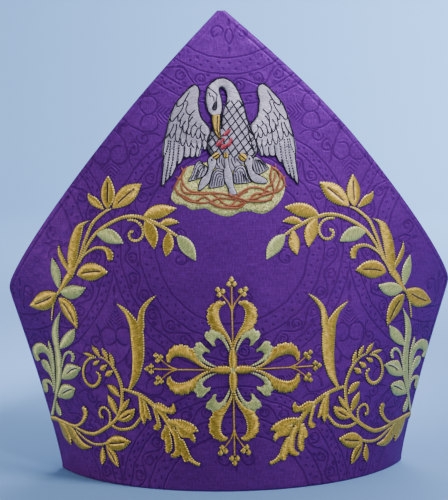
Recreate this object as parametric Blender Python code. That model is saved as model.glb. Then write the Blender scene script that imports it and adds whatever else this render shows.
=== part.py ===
"""A bishop's mitre: two bowed, stiffened cloth panels sewn at the sides, a soft lining cloth that spreads
between their horns, and two lappets sewn to the foot of the back panel. Metres, +Z up, the front towards -Y.
It stands on its rim with the lappets laid out behind it, and the origin is the bottom centre of the whole."""

import math

import bmesh
import bpy
from mathutils import Vector

MM = 0.001

# The head opening: two arcs of 300 mm each, for a head of 600 mm around.
RIM_HALF_WIDTH = 116.0
RIM_HALF_DEPTH = 80.0
# The side corners, where the sewn seams end and the sloping edges of the horns begin.
CORNER_HALF_WIDTH = 150.0
CORNER_HEIGHT = 125.0
CORNER_FLARE = 1.2
CORNER_ROUNDING = 5.0
# The horns.
HEIGHT = 306.0
TIP_HALF_DEPTH = 56.0
TIP_HALF_WIDTH = 1.6
TIP_LEAN = 4.5
EDGE_SWELL = 3.0
EDGE_LATE_SWELL = 2.0
# Cloth walls.
PANEL_WALL = 3.0
GUSSET_WALL = 1.6
LAPPET_WALL = 2.4
SEWN_GAP = 0.3
GUSSET_GAP = 0.5
# The lining cloth between the horns.
VALLEY_HEIGHT = 119.0
VALLEY_RISE = 8.0
VALLEY_ROUND = 0.22
GUSSET_END = 0.06
GUSSET_INSET = 1.4
# The lappets.
LAPPET_LENGTH = 320.0
LAPPET_TOP = 34.0
LAPPET_BEND = 14.0
LAPPET_TOP_WIDTH = 52.0
LAPPET_END_WIDTH = 60.0
LAPPET_OFFSET = 32.0

FRONT = -1
BACK = 1


def half_width(z):
    """Half the width over both panels at the side seams; above the corners the same cone goes on."""
    growth = CORNER_HALF_WIDTH - RIM_HALF_WIDTH
    if z <= CORNER_HEIGHT:
        return RIM_HALF_WIDTH + growth * (z / CORNER_HEIGHT) ** CORNER_FLARE
    return CORNER_HALF_WIDTH + growth * (z / CORNER_HEIGHT - 1.0)


def half_depth(z):
    return RIM_HALF_DEPTH + (TIP_HALF_DEPTH - RIM_HALF_DEPTH) * z / HEIGHT


def bow_radius(z):
    """Radius of the arc that a panel makes at height z, from its half chord and its rise."""
    chord, rise = half_width(z), half_depth(z)
    return (chord * chord + rise * rise) / (2.0 * rise)


def panel_point(side, s, z, inset=0.0):
    """A point of a panel: s along the cloth from its centre line, z up, inset from its outer face."""
    radius = bow_radius(z)
    turn = s / radius
    forward = (radius - inset) * math.cos(turn) - (radius - half_depth(z))
    return Vector(((radius - inset) * math.sin(turn), side * forward, z))


def seam_reach(z, inset):
    """How far along the cloth a panel goes before it meets the other one, half a sewing gap short."""
    radius = bow_radius(z)
    middle = radius - half_depth(z) + SEWN_GAP / 2.0
    return radius * math.acos(middle / (radius - inset))


def edge_reach(z):
    """The sloping edge of a horn, measured along the cloth: nearly straight, a little full."""
    corner = bow_radius(CORNER_HEIGHT) * math.asin(CORNER_HALF_WIDTH / bow_radius(CORNER_HEIGHT))
    rise = (z - CORNER_HEIGHT) / (HEIGHT - CORNER_HEIGHT)
    reach = TIP_HALF_WIDTH + (corner - TIP_HALF_WIDTH) * (1.0 - rise)
    if rise > 0.0:
        reach += EDGE_SWELL * math.sin(math.pi * rise)
        reach -= EDGE_LATE_SWELL * math.sin(2.0 * math.pi * rise)
    return reach


def cloth_reach(z, inset=0.0):
    """Half the width of the cloth at height z, with the side corner rounded off."""
    seam, edge = seam_reach(z, inset), edge_reach(z)
    return (seam + edge - math.hypot(seam - edge, CORNER_ROUNDING)) / 2.0


def lean(z):
    """The tips bend a little to the wearer's right."""
    rise = max(0.0, (z - CORNER_HEIGHT) / (HEIGHT - CORNER_HEIGHT) - 0.55) / 0.45
    return -TIP_LEAN * rise**1.5


def fabric(name, colour, roughness):
    """A plain cloth colour, given as linear red, green and blue."""
    made = bpy.data.materials.new(name)
    made.use_nodes = True
    shader = made.node_tree.nodes["Principled BSDF"]
    shader.inputs["Base Color"].default_value = (*colour, 1.0)
    shader.inputs["Roughness"].default_value = roughness
    shader.inputs["Metallic"].default_value = 0.0
    return made


def closed_wall(name, outer, inner, rims, material):
    """One closed wall from two matching grids of points. rims holds, for each row, the two points that
    close the row's first and last ends."""
    mesh = bmesh.new()
    loops = []
    for outer_row, inner_row, (first, last) in zip(outer, inner, rims):
        points = [first, *outer_row, last, *reversed(inner_row)]
        loops.append([mesh.verts.new(point * MM) for point in points])
    count = len(loops[0])
    for lower, upper in zip(loops, loops[1:]):
        for i in range(count):
            following = (i + 1) % count
            mesh.faces.new((lower[i], lower[following], upper[following], upper[i]))
    columns = len(outer[0])
    for loop in (loops[0], loops[-1]):
        mesh.faces.new((loop[0], loop[1], loop[-1]))
        for i in range(1, columns):
            mesh.faces.new((loop[i], loop[i + 1], loop[count - i - 1], loop[count - i]))
        mesh.faces.new((loop[columns], loop[columns + 1], loop[columns + 2]))
    bmesh.ops.recalc_face_normals(mesh, faces=mesh.faces)
    data = bpy.data.meshes.new(name)
    mesh.to_mesh(data)
    mesh.free()
    data.shade_smooth()
    data.set_sharp_from_angle(angle=math.radians(40))
    data.materials.append(material)
    made = bpy.data.objects.new(name, data)
    bpy.context.scene.collection.objects.link(made)
    return made


def panel_heights():
    """Rows up a panel: a few on the plain foot, closer ones at the side corner, even ones up the horn."""
    foot, corner, horn = 6, 5, 15
    bend = 12.0
    heights = [(CORNER_HEIGHT - bend) * i / foot for i in range(foot)]
    heights += [CORNER_HEIGHT - bend + 2.0 * bend * i / corner for i in range(corner)]
    low = CORNER_HEIGHT + bend
    heights += [low + (HEIGHT - low) * i / horn for i in range(horn + 1)]
    return heights


def panel(name, side, material):
    """A stiffened panel: cloth over buckram, one wall with softly rounded free edges."""
    columns = 22
    outer, inner, rims = [], [], []
    for z in panel_heights():
        across = [2.0 * i / columns - 1.0 for i in range(columns + 1)]
        shift = lean(z)
        far, near = cloth_reach(z), cloth_reach(z, PANEL_WALL)
        outer.append([panel_point(side, shift + a * far, z) for a in across])
        inner.append([panel_point(side, shift + a * near, z, PANEL_WALL) for a in across])
        free = min(1.0, max(0.0, (z - CORNER_HEIGHT) / (2.0 * CORNER_ROUNDING)))
        middle = PANEL_WALL / 2.0
        half = cloth_reach(z, middle) + free * PANEL_WALL / 3.0
        rims.append([panel_point(side, shift + end * half, z, middle) for end in (-1, 1)])
    return closed_wall(name, outer, inner, rims, material)


def gusset_edge(side, along, rise):
    """Where the lining cloth is sewn inside a horn's sloping edge."""
    z = CORNER_HEIGHT + rise * (HEIGHT - CORNER_HEIGHT) - GUSSET_INSET
    inset = PANEL_WALL + GUSSET_GAP + GUSSET_WALL / 2.0
    reach = cloth_reach(z) - GUSSET_INSET
    return panel_point(side, lean(z) + math.copysign(reach, along), z, inset)


def gusset(name, material):
    """The soft cloth from horn to horn: a rounded valley that runs from one side corner to the other."""
    rows, columns = 26, 16
    upper, lower, rims = [], [], []
    for i in range(rows + 1):
        along = (2.0 * i / rows - 1.0) * (1.0 - GUSSET_END)
        rise = 1.0 - abs(along)
        front, back = gusset_edge(FRONT, along, rise), gusset_edge(BACK, along, rise)
        valley = VALLEY_HEIGHT + VALLEY_RISE * along**4
        section = []
        for j in range(columns + 1):
            v = 2.0 * j / columns - 1.0
            at = front.lerp(back, (v + 1.0) / 2.0)
            climb = (math.hypot(v, VALLEY_ROUND) - VALLEY_ROUND) / (math.hypot(1.0, VALLEY_ROUND) - VALLEY_ROUND)
            section.append(Vector((at.x, at.y, valley + (at.z - valley) * climb)))
        top, bottom = [], []
        for j, point in enumerate(section):
            before, after = section[max(0, j - 1)], section[min(columns, j + 1)]
            run = after - before
            normal = Vector((0.0, -run.z, run.y)).normalized()
            top.append(point + normal * GUSSET_WALL / 2.0)
            bottom.append(point - normal * GUSSET_WALL / 2.0)
        upper.append(top)
        lower.append(bottom)
        rims.append([(top[0] + bottom[0]) / 2.0, (top[-1] + bottom[-1]) / 2.0])
    return closed_wall(name, upper, lower, rims, material)


def lappet_rows(hand):
    """Centre, outward direction, face direction and flatness of a lappet, from its sewn top to its end."""
    clear = SEWN_GAP + LAPPET_WALL / 2.0
    bend_top = LAPPET_BEND + LAPPET_WALL / 2.0
    sewn, bent, laid = 3, 7, 6
    middle = hand * LAPPET_OFFSET
    rows = []
    for i in range(sewn):
        z = LAPPET_TOP + (bend_top - LAPPET_TOP) * i / sewn
        turn = middle / bow_radius(z)
        out = Vector((math.sin(turn), math.cos(turn), 0.0))
        rows.append((panel_point(BACK, middle, z, -clear), out, 0.0, LAPPET_TOP - z))
    start = panel_point(BACK, middle, bend_top, -clear)
    turn = middle / bow_radius(bend_top)
    out = Vector((math.sin(turn), math.cos(turn), 0.0))
    length = LAPPET_TOP - bend_top
    for i in range(bent + 1):
        angle = math.pi / 2.0 * i / bent
        away = LAPPET_BEND * (1.0 - math.cos(angle))
        down = LAPPET_BEND * math.sin(angle)
        at = start + out * away - Vector((0.0, 0.0, down))
        rows.append((at, out, angle, length + LAPPET_BEND * angle))
    at, _, angle, length = rows[-1]
    for i in range(1, laid + 1):
        run = (LAPPET_LENGTH - length) * i / laid
        rows.append((at + out * run, out, angle, length + run))
    return rows


def lappet(name, hand, material):
    """A stiffened strip, sewn to the foot of the back panel, that bends to lie flat behind the mitre."""
    columns = 4
    outer, inner, rims = [], [], []
    for centre, out, angle, length in lappet_rows(hand):
        width = LAPPET_TOP_WIDTH + (LAPPET_END_WIDTH - LAPPET_TOP_WIDTH) * length / LAPPET_LENGTH
        across = Vector((out.y, -out.x, 0.0))
        face = out * math.cos(angle) + Vector((0.0, 0.0, math.sin(angle)))
        radius = bow_radius(centre.z)
        hugging = math.cos(angle)
        over, under = [], []
        for j in range(columns + 1):
            w = width * (j / columns - 0.5)
            sag = hugging * (radius - math.sqrt(radius * radius - w * w))
            point = centre + across * w - out * sag
            over.append(point + face * LAPPET_WALL / 2.0)
            under.append(point - face * LAPPET_WALL / 2.0)
        outer.append(over)
        inner.append(under)
        round_off = LAPPET_WALL / 4.0
        rims.append([
            (over[0] + under[0]) / 2.0 - across * round_off,
            (over[-1] + under[-1]) / 2.0 + across * round_off,
        ])
    return closed_wall(name, outer, inner, rims, material)


def stand_on_origin(pieces):
    """Moves all the meshes together, so that the bottom centre of their common box is the origin."""
    corners = [vertex.co for piece in pieces for vertex in piece.data.vertices]
    low = Vector([min(corner[axis] for corner in corners) for axis in range(3)])
    high = Vector([max(corner[axis] for corner in corners) for axis in range(3)])
    base = Vector(((low.x + high.x) / 2.0, (low.y + high.y) / 2.0, low.z))
    for piece in pieces:
        for vertex in piece.data.vertices:
            vertex.co -= base


for leftover in list(bpy.data.objects):
    bpy.data.objects.remove(leftover, do_unlink=True)

damask = fabric("violet_damask", (0.085, 0.022, 0.26), 0.45)
lining = fabric("violet_lining", (0.06, 0.016, 0.2), 0.6)

pieces = [
    panel("front_panel", FRONT, damask),
    panel("back_panel", BACK, damask),
    gusset("crown_gusset", lining),
    lappet("lappet_left", -1, damask),
    lappet("lappet_right", 1, damask),
]
stand_on_origin(pieces)
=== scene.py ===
"""A bishop's mitre in violet damask, embroidered on the front panel in gold, green and silver thread."""

import math
from functools import partial, reduce

import bmesh
import bpy
from mathutils import Matrix, Vector, noise


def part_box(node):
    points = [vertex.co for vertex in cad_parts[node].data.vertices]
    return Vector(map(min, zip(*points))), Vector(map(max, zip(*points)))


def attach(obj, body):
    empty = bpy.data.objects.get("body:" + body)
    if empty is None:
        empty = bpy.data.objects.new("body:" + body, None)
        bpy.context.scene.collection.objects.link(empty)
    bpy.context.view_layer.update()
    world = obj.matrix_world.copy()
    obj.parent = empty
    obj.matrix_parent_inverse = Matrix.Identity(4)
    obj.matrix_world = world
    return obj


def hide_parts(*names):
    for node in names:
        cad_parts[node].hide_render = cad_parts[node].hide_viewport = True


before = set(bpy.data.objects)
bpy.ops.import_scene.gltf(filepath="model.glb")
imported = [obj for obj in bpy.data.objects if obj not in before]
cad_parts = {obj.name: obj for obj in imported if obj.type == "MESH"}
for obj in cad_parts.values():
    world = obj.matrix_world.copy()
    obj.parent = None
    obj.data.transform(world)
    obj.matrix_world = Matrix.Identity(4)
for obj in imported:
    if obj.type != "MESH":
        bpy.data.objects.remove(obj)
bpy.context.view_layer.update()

# The front and back panels: violet silk damask over stiff buckram, lined, in all a wall of 3 mm. Each is cut
# as a five-sided piece, turned in at its edges and sewn to the other one at the sides, up to the corners.
MM = 0.001
RIM_HALF_WIDTH, RIM_HALF_DEPTH = 116.0, 80.0
CORNER_HALF_WIDTH, CORNER_HEIGHT = 150.0, 125.0
CORNER_FLARE, CORNER_ROUNDING = 1.2, 3.6
HEIGHT, TIP_HALF_DEPTH, TIP_HALF_WIDTH = 306.0, 56.0, 1.6
# the tip leans aside, from this share of the sloping edge on
TIP_LEAN, LEAN_FROM, LEAN_POWER = 4.5, 0.55, 1.5
EDGE_SWELL, EDGE_LATE_SWELL = 3.0, 2.0
PANEL_WALL, SEWN_GAP = 3.0, 0.3
# how far the cloth stands off the stiffener in slack hollows, in puckers and where it drags on the bias
SLACK, PUCKER, DRAG = 0.35, 0.16, 0.10
# the edge is rolled over, and a row of stitches pulls it down beside the roll
ROLL, ROLL_WIDTH, STITCH_DIP, STITCH_FROM_EDGE, STITCH_SPREAD = 0.45, 3.0, 0.40, 4.6, 0.8
MOST_RELIEF = 0.5
FRONT, BACK = -1, 1
SEAM_Y = (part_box("front_panel")[1].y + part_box("back_panel")[0].y) / 2.0


def half_width(z):
    growth = CORNER_HALF_WIDTH - RIM_HALF_WIDTH
    if z <= CORNER_HEIGHT:
        return RIM_HALF_WIDTH + growth * (max(0.0, z) / CORNER_HEIGHT) ** CORNER_FLARE
    return CORNER_HALF_WIDTH + growth * (z / CORNER_HEIGHT - 1.0)


def half_depth(z):
    return RIM_HALF_DEPTH + (TIP_HALF_DEPTH - RIM_HALF_DEPTH) * z / HEIGHT


def bow_radius(z):
    """Radius of the arc that a panel makes at height z."""
    chord, rise = half_width(z), half_depth(z)
    return (chord * chord + rise * rise) / (2.0 * rise)


def panel_point(side, s, z, inset=0.0):
    """A point of a panel, in metres: s mm along the cloth from its centre line, z mm up, inset mm in."""
    radius = bow_radius(z)
    turn = s / radius
    forward = (radius - inset) * math.cos(turn) - (radius - half_depth(z))
    return Vector((MM * (radius - inset) * math.sin(turn), SEAM_Y + MM * side * forward, MM * z))


def seam_reach(z, inset):
    radius = bow_radius(z)
    return radius * math.acos((radius - half_depth(z) + SEWN_GAP / 2.0) / (radius - inset))


def edge_reach(z):
    corner = bow_radius(CORNER_HEIGHT) * math.asin(CORNER_HALF_WIDTH / bow_radius(CORNER_HEIGHT))
    rise = (z - CORNER_HEIGHT) / (HEIGHT - CORNER_HEIGHT)
    reach = TIP_HALF_WIDTH + (corner - TIP_HALF_WIDTH) * (1.0 - rise)
    if rise > 0.0:
        reach += EDGE_SWELL * math.sin(math.pi * rise) - EDGE_LATE_SWELL * math.sin(2.0 * math.pi * rise)
    return reach


def cloth_reach(z, inset=0.0):
    """Half the width of the cloth at height z, with the side corner rounded off."""
    seam, edge = seam_reach(z, inset), edge_reach(z)
    return (seam + edge - math.hypot(seam - edge, CORNER_ROUNDING)) / 2.0


def lean(z):
    """The tip bends a little to the wearer's right."""
    rise = max(0.0, (z - CORNER_HEIGHT) / (HEIGHT - CORNER_HEIGHT) - LEAN_FROM) / (1.0 - LEAN_FROM)
    return -TIP_LEAN * rise**LEAN_POWER


def cloth_relief(s, z, from_edge):
    """How far the damask stands off the smooth stiffener, in mm. The noises are 5 to 70 mm from crest to crest."""
    slack = SLACK * noise.noise(Vector((s / 55.0, z / 70.0, 3.0)))
    pucker = PUCKER * noise.noise(Vector((s / 7.0, z / 9.0, 7.0)))
    drag = DRAG * noise.noise(Vector(((s + z) / 5.0, (s - z) / 30.0, 11.0)))
    roll = ROLL * max(0.0, 1.0 - from_edge / ROLL_WIDTH) ** 2
    stitched = STITCH_DIP * math.exp(-(((from_edge - STITCH_FROM_EDGE) / STITCH_SPREAD) ** 2))
    above_hem = min(1.0, max(0.0, z / 4.0))
    fade = min(above_hem, max(0.0, from_edge / ROLL_WIDTH))
    return (slack + pucker + drag) * fade - (roll + stitched) * above_hem


def new_piece(name, mesh, material):
    """Makes an object at the origin from a finished bmesh."""
    data = bpy.data.meshes.new(name)
    mesh.to_mesh(data)
    mesh.free()
    data.materials.append(material)
    made = bpy.data.objects.new(name, data)
    bpy.context.scene.collection.objects.link(made)
    return made


def closed_cloth(name, rings, ring_uvs, material):
    """A closed wall of cloth. rings are its cross-sections from end to end, each once round the wall."""
    mesh = bmesh.new()
    loops = [[mesh.verts.new(point) for point in ring] for ring in rings]
    flat = mesh.loops.layers.uv.new("cloth")
    count = len(loops[0])
    places = {vert: uv for loop, uvs in zip(loops, ring_uvs) for vert, uv in zip(loop, uvs)}
    for lower, upper in zip(loops, loops[1:]):
        for i in range(count):
            j = (i + 1) % count
            mesh.faces.new((lower[i], lower[j], upper[j], upper[i]))
    for loop in (loops[0], loops[-1]):
        for i in range(count // 2 - 1):
            mesh.faces.new((loop[i], loop[i + 1], loop[count - 2 - i], loop[count - 1 - i]))
    bmesh.ops.recalc_face_normals(mesh, faces=mesh.faces)
    for face in mesh.faces:
        face.smooth = True
        for corner in face.loops:
            corner[flat].uv = places[corner.vert]
    return new_piece(name, mesh, material)


def paint(code):
    """An sRGB hex colour as linear red, green, blue and alpha."""
    parts = [int(code[i : i + 2], 16) / 255.0 for i in (1, 3, 5)]
    linear = [c / 12.92 if c <= 0.04045 else ((c + 0.055) / 1.055) ** 2.4 for c in parts]
    return (*linear, 1.0)


def feed(node, inputs):
    """Fills a node's sockets, given in order or by name, each with a value or with what feeds it."""
    for key, value in inputs.items() if isinstance(inputs, dict) else enumerate(inputs):
        if isinstance(value, bpy.types.NodeSocket):
            node.id_data.links.new(value, node.inputs[key])
        else:
            node.inputs[key].default_value = value


def add_node(tree, kind, inputs=(), out=0, **settings):
    """Adds one node with its settings and inputs, and gives its output out."""
    made = tree.nodes.new("ShaderNode" + kind)
    for key, value in settings.items():
        setattr(made, key, value)
    feed(made, inputs)
    return made.outputs[out]


def new_material(name):
    """A new material, its shader, and add_node bound to its node tree."""
    made = bpy.data.materials.new(name)
    made.use_nodes = True
    return made, made.node_tree.nodes["Principled BSDF"], partial(add_node, made.node_tree)


# Silk damask, woven violet on violet: the figure's lines are satin against a duller ground, so they show by
# their gloss, their slight height and a change of colour. Round medallions stand 156 mm apart across and 169 mm
# up, each with a running scroll between two dotted bands, and a star of four hearts fills the gap between four.
RING_ACROSS, RING_UP, RING_HEIGHT = 78.0, 84.5, 156.5
# radii of a medallion's lines, then of its rows of dots, with the dots in a quarter turn and how far they begin
RING_LINES = (49.5, 60.0, 73.0, 79.5)
RING_DOTS = ((52.8, 12, 0.0), (56.6, 12, 1.0), (75.2, 18, 0.0), (77.4, 18, 1.0))
# the running scroll: its middle radius, waves in a quarter turn and swing
RUN_RADIUS, RUN_WAVES, RUN_SWING = 66.5, 4, 3.4
# The figure is charted in three fields: 0 is a bend of the running scroll, 1 an arm of the star, 2 an arm of the
# small cross inside a medallion. x is across the arm and y along it from the middle, in mm.
# field, x, y of an arc's middle, radius, its middle direction and half spread in degrees
DAMASK_ARCS = (
    (0, -1.1, 0.5, 3.1, 200, 140), (0, -0.7, 1, 1.3, 20, 130),
    # a heart, its scrolled lobe and its side, then the curls beside it and the ring at the star's middle
    (1, 5.6, 26, 5.7, 145, 145), (1, -9, 25.8, 20.2, -32, 32), (1, 15.2, 21.6, 3.7, 40, 150),
    (1, 21.5, 27.5, 9.2, 180, 40), (1, 0, 0, 2.4, 0, 180),
    (2, -4.6, 36, 6.8, 0, 45), (2, 7.4, 33.4, 4, -60, 125), (2, 8.4, 34.2, 1.8, 60, 140),
)
# field, x, y of a filled leaf, then half its width and half its length
DAMASK_LEAVES = (
    (0, -4.7, 5.6, 0.9, 1.6), (1, 6.6, 9.6, 1.2, 2.6), (1, 0, 48.2, 1.2, 2.2), (1, 0, 56, 0.9, 3),
    (1, 15.4, 21.4, 1, 1), (2, 0, 27.6, 1, 2.4), (2, 0, 44.6, 0.8, 1.6),
)
# the fern on a heart: from its foot to its tip, its spread, the slant of its ribs and their distance
FERN_FOOT, FERN_TIP, FERN_SPREAD, FERN_SLANT, FERN_RIB = 31.8, 46.0, 0.55, 0.9, 2.6
# a line is solid up to the first distance from its middle and gone at the second
LINE_SOLID, LINE_GONE, DOT_RADIUS, LEAF_FILL, OUT_OF_SIGHT = 0.35, 0.85, 0.3, 0.6, 50.0
# how strongly the figure is tinted, how far its lines wander in mm, and how thick the scroll's line is woven
FIGURE_TINT, LINE_WANDER, RUN_THICKNESS = 0.66, 2.4, 0.8
# the sloping edges lie this far out at the corners, for the puckers
PUCKER_REACH = 156.0
# how high the surface is drawn, in half millimetres: the figure below the ground, the grain and the hollows
FIGURE_DEPTH, GRAIN_HEIGHT, HOLLOW_HEIGHT = 0.6, 0.16, 3.4


def damask_cloth(name, ground, figure, shade):
    """Silk damask: glossy lines on a duller ground. It reads a piece's cloth map, in metres along and up."""
    made, shader, node = new_material(name)
    flat = node("VectorMath", {0: node("UVMap", uv_map="cloth"), 3: 1.0 / MM}, operation="SCALE")
    # the woven line wanders by half a millimetre
    waver = node("TexNoise", {"Vector": flat, "Scale": 0.1, "Detail": 1.0}, out="Color")
    centred = node("VectorMath", (waver, (0.5, 0.5, 0.5)), operation="SUBTRACT")
    wander = node("VectorMath", {0: centred, 3: LINE_WANDER}, operation="SCALE")
    place = node("SeparateXYZ", (node("VectorMath", (flat, wander), operation="ADD"),)).node.outputs
    across = node("Math", (place[0], RING_ACROSS), operation="PINGPONG")
    height = node("Math", (place[1], RING_HEIGHT), operation="SUBTRACT")
    rise = node("Math", (height, RING_UP), operation="PINGPONG")
    reach = node("VectorMath", (node("CombineXYZ", (across, rise)),), operation="LENGTH", out="Value")
    turn = node("Math", (rise, across), operation="ARCTAN2")

    def away_from(spot, x, y, scale=(1.0, 1.0)):
        """The way from a place in a field to a spot, and how long it is."""
        away = node("VectorMath", (spot, (x, y, 0.0)), operation="SUBTRACT")
        away = node("VectorMath", (away, (*scale, 0.0)), operation="MULTIPLY")
        return away, node("VectorMath", (away,), operation="LENGTH", out="Value")

    # how far off each line of the figure is, in mm
    lines = []
    for radius in RING_LINES:
        off = node("Math", (reach, radius), operation="SUBTRACT")
        lines.append(node("Math", (off,), operation="ABSOLUTE"))
    for radius, count, begin in RING_DOTS:
        half = math.pi / 4.0 / count
        past = node("Math", (node("Math", (turn, begin * half), operation="ADD"), half), operation="PINGPONG")
        spot = node("CombineXYZ", (reach, node("Math", (past, radius), operation="MULTIPLY")))
        lines.append(node("Math", (away_from(spot, radius, 0.0)[1], DOT_RADIUS), operation="SUBTRACT"))
    # the scroll runs round between the bands, and each of its bends holds a curl
    wave = math.pi / 2.0 / RUN_WAVES
    swing = node("Math", (node("Math", (turn, 2.0 * math.pi / wave), operation="MULTIPLY"),), operation="SINE")
    off = node("Math", (reach, RUN_RADIUS), operation="SUBTRACT")
    run = node("Math", (node("Math", (swing, -RUN_SWING, off), operation="MULTIPLY_ADD"),), operation="ABSOLUTE")
    lines.append(node("Math", (run, RUN_THICKNESS), operation="MULTIPLY"))
    bend = node("Math", (turn, wave / 2.0, 0.0), operation="WRAP")
    bend = node("Math", (bend, wave / 4.0), operation="SUBTRACT")
    inward = node("Math", (node("Math", (swing,), operation="SIGN"), off), operation="MULTIPLY")
    aside = node("Math", (RING_ACROSS, across), operation="SUBTRACT")
    beyond = node("Math", (RING_UP, rise), operation="SUBTRACT")
    wide = node("Math", (aside, beyond), operation="MINIMUM")
    far = node("Math", (aside, beyond), operation="MAXIMUM")
    inner_wide = node("Math", (across, rise), operation="MINIMUM")
    inner_far = node("Math", (across, rise), operation="MAXIMUM")
    fields = (
        node("CombineXYZ", (inward, node("Math", (bend, RUN_RADIUS), operation="MULTIPLY"))),
        node("CombineXYZ", (wide, far)),
        node("CombineXYZ", (inner_wide, inner_far)),
    )
    for field, x, y, radius, middle, spread in DAMASK_ARCS:
        away, length = away_from(fields[field], x, y)
        ring = node("Math", (node("Math", (length, radius), operation="SUBTRACT"),), operation="ABSOLUTE")
        if spread < 180:
            heading = (math.cos(math.radians(middle)), math.sin(math.radians(middle)), 0.0)
            ahead = node("VectorMath", (away, heading), operation="DOT_PRODUCT", out="Value")
            limit = node("Math", (length, math.cos(math.radians(spread))), operation="MULTIPLY")
            outside = node("Math", (limit, ahead), operation="GREATER_THAN")
            ring = node("Math", (outside, OUT_OF_SIGHT, ring), operation="MULTIPLY_ADD")
        lines.append(ring)
    for field, x, y, half_wide, half_long in DAMASK_LEAVES:
        length = away_from(fields[field], x, y, (1.0 / half_wide, 1.0 / half_long))[1]
        leaf = node("Math", (length, LEAF_FILL), operation="SUBTRACT")
        lines.append(node("Math", (leaf, half_wide), operation="MULTIPLY"))
    slanted = node("Math", (wide, -FERN_SLANT, far), operation="MULTIPLY_ADD")
    rib = node("Math", (slanted, FERN_RIB / 2.0), operation="PINGPONG")
    edge = node("Math", (node("Math", (FERN_TIP, far), operation="SUBTRACT"), FERN_SPREAD), operation="MULTIPLY")
    beside = node("Math", (wide, edge), operation="GREATER_THAN")
    below = node("Math", (far, FERN_FOOT), operation="LESS_THAN")
    outside = node("Math", (beside, below), operation="MAXIMUM")
    lines.append(node("Math", (outside, OUT_OF_SIGHT, rib), operation="MULTIPLY_ADD"))
    line = node(
        "MapRange",
        {
            "Value": reduce(lambda near, other: node("Math", (near, other), operation="MINIMUM"), lines),
            "From Min": LINE_SOLID, "From Max": LINE_GONE, "To Min": 1.0, "To Max": 0.0,
        },
        interpolation_type="SMOOTHSTEP",
    )

    # silk threads 0.2 mm apart are too fine to show, so the streaks are drawn 0.9 mm apart
    warp = node("Mapping", {"Vector": flat, "Scale": (1.1, 0.3, 1.0)})
    streaks = node("TexNoise", {"Vector": warp, "Scale": 1.0, "Detail": 3.0, "Roughness": 0.7})
    weft = node("Mapping", {"Vector": flat, "Scale": (0.12, 1.2, 1.0)})
    slubs = node("TexNoise", {"Vector": weft, "Scale": 1.0, "Detail": 2.0, "Roughness": 0.6})
    slubs = node("Math", (slubs, 0.35), operation="MULTIPLY")
    grain = node("Math", (streaks, 0.65, slubs), operation="MULTIPLY_ADD")
    clouds = node("TexNoise", {"Vector": flat, "Scale": 0.03, "Detail": 2.0})
    tone = node("MapRange", {"Value": grain, "From Min": 0.1, "From Max": 0.9})
    colour = node("Mix", {0: tone, 6: paint(shade), 7: paint(ground)}, out=2, data_type="RGBA")
    # soft clouds some 30 mm across darken the cloth towards its shade colour, a painted sheen that stands in for the
    # satin's shimmer; then the woven figure is tinted over it
    for share, most, over in ((clouds, 0.4, shade), (line, FIGURE_TINT, figure)):
        share = node("Math", (share, most), operation="MULTIPLY")
        colour = node("Mix", {0: share, 6: colour, 7: paint(over)}, out=2, data_type="RGBA")

    # the figure lies 0.3 mm below the ground, and the cloth is a little crumpled over the stiffener
    height = node("Math", (grain, GRAIN_HEIGHT), operation="MULTIPLY")
    height = node("Math", (line, -FIGURE_DEPTH, height), operation="MULTIPLY_ADD")
    # it puckers most along the sloping edges, where the seam pulls it
    ends = node("SeparateXYZ", (flat,)).node.outputs
    climb = node("Math", (ends[1], CORNER_HEIGHT), operation="SUBTRACT")
    climb = node("Math", (climb, HEIGHT - CORNER_HEIGHT), operation="DIVIDE")
    aside = node("Math", (node("Math", (ends[0],), operation="ABSOLUTE"), PUCKER_REACH), operation="DIVIDE")
    slope = node("Math", (aside, climb), operation="ADD")
    pull = node("MapRange", {"Value": slope, "From Min": 0.72, "From Max": 1.0, "To Min": 0.5, "To Max": 1.7})
    crumple = node(
        "TexNoise", {"Vector": flat, "Scale": 0.2, "Detail": 3.0, "Roughness": 0.6, "Distortion": 0.6}
    )
    height = node("Math", (crumple, pull, height), operation="MULTIPLY_ADD")
    # and it stands off the stiffener in soft hollows some 25 mm across
    hollow = node("TexNoise", {"Vector": flat, "Scale": 0.045, "Detail": 1.0, "Distortion": 0.8})
    height = node("Math", (hollow, HOLLOW_HEIGHT, height), operation="MULTIPLY_ADD")
    rough = node("Math", (line, -0.1, 0.4), operation="MULTIPLY_ADD")
    feed(shader, {
        "Base Color": colour,
        "Roughness": node("Math", (grain, 0.16, rough), operation="MULTIPLY_ADD"),
        "Metallic": 0.3,
        "Specular IOR Level": 0.08,
        "Specular Tint": paint("#b468dc"),
        "Sheen Weight": 0.03,
        "Sheen Roughness": 0.4,
        "Sheen Tint": paint("#a060ff"),
        "Anisotropic": 0.5,
        "Tangent": node("Tangent", direction_type="UV_MAP", uv_map="cloth"),
        "Normal": node("Bump", {"Height": height, "Strength": 0.75, "Distance": 0.5 * MM}),
    })
    return made


damask = damask_cloth("violet_silk_damask", "#7a309e", "#380e50", "#1a082c")

PANEL_ROWS, PANEL_COLUMNS, EDGE_BAND, EDGE_COLUMNS = 116, 92, 7.0, 10
HEM_ROUND, HEM_RISE = 1.0, 1.4
RIM_STEPS = (0.35, 0.8, 1.5, 2.2, 2.65)
# the back is cut from another stretch of the cloth, so it is slack in other places
BACK_CUT = 400.0


def cloth_columns(reach):
    """Places across the cloth in mm, close together near its two edges where the cloth is turned in."""
    band = min(EDGE_BAND, 0.45 * reach)
    inner = [(reach - band) * (2.0 * i / PANEL_COLUMNS - 1.0) for i in range(PANEL_COLUMNS + 1)]
    outer = [reach - band + band * (i + 1) / EDGE_COLUMNS for i in range(EDGE_COLUMNS)]
    return [-place for place in reversed(outer)] + inner + outer


def cloth_heights():
    """Heights of the rows: close at the hem and at the tip, even elsewhere."""
    hem = [0.0, 0.25, 0.7, 1.4, 2.4, 3.6, 5.0]
    low, high = hem[-1], HEIGHT - 1.0
    return hem + [low + (high - low) * i / PANEL_ROWS for i in range(1, PANEL_ROWS + 1)] + [HEIGHT - 0.3, HEIGHT]


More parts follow.
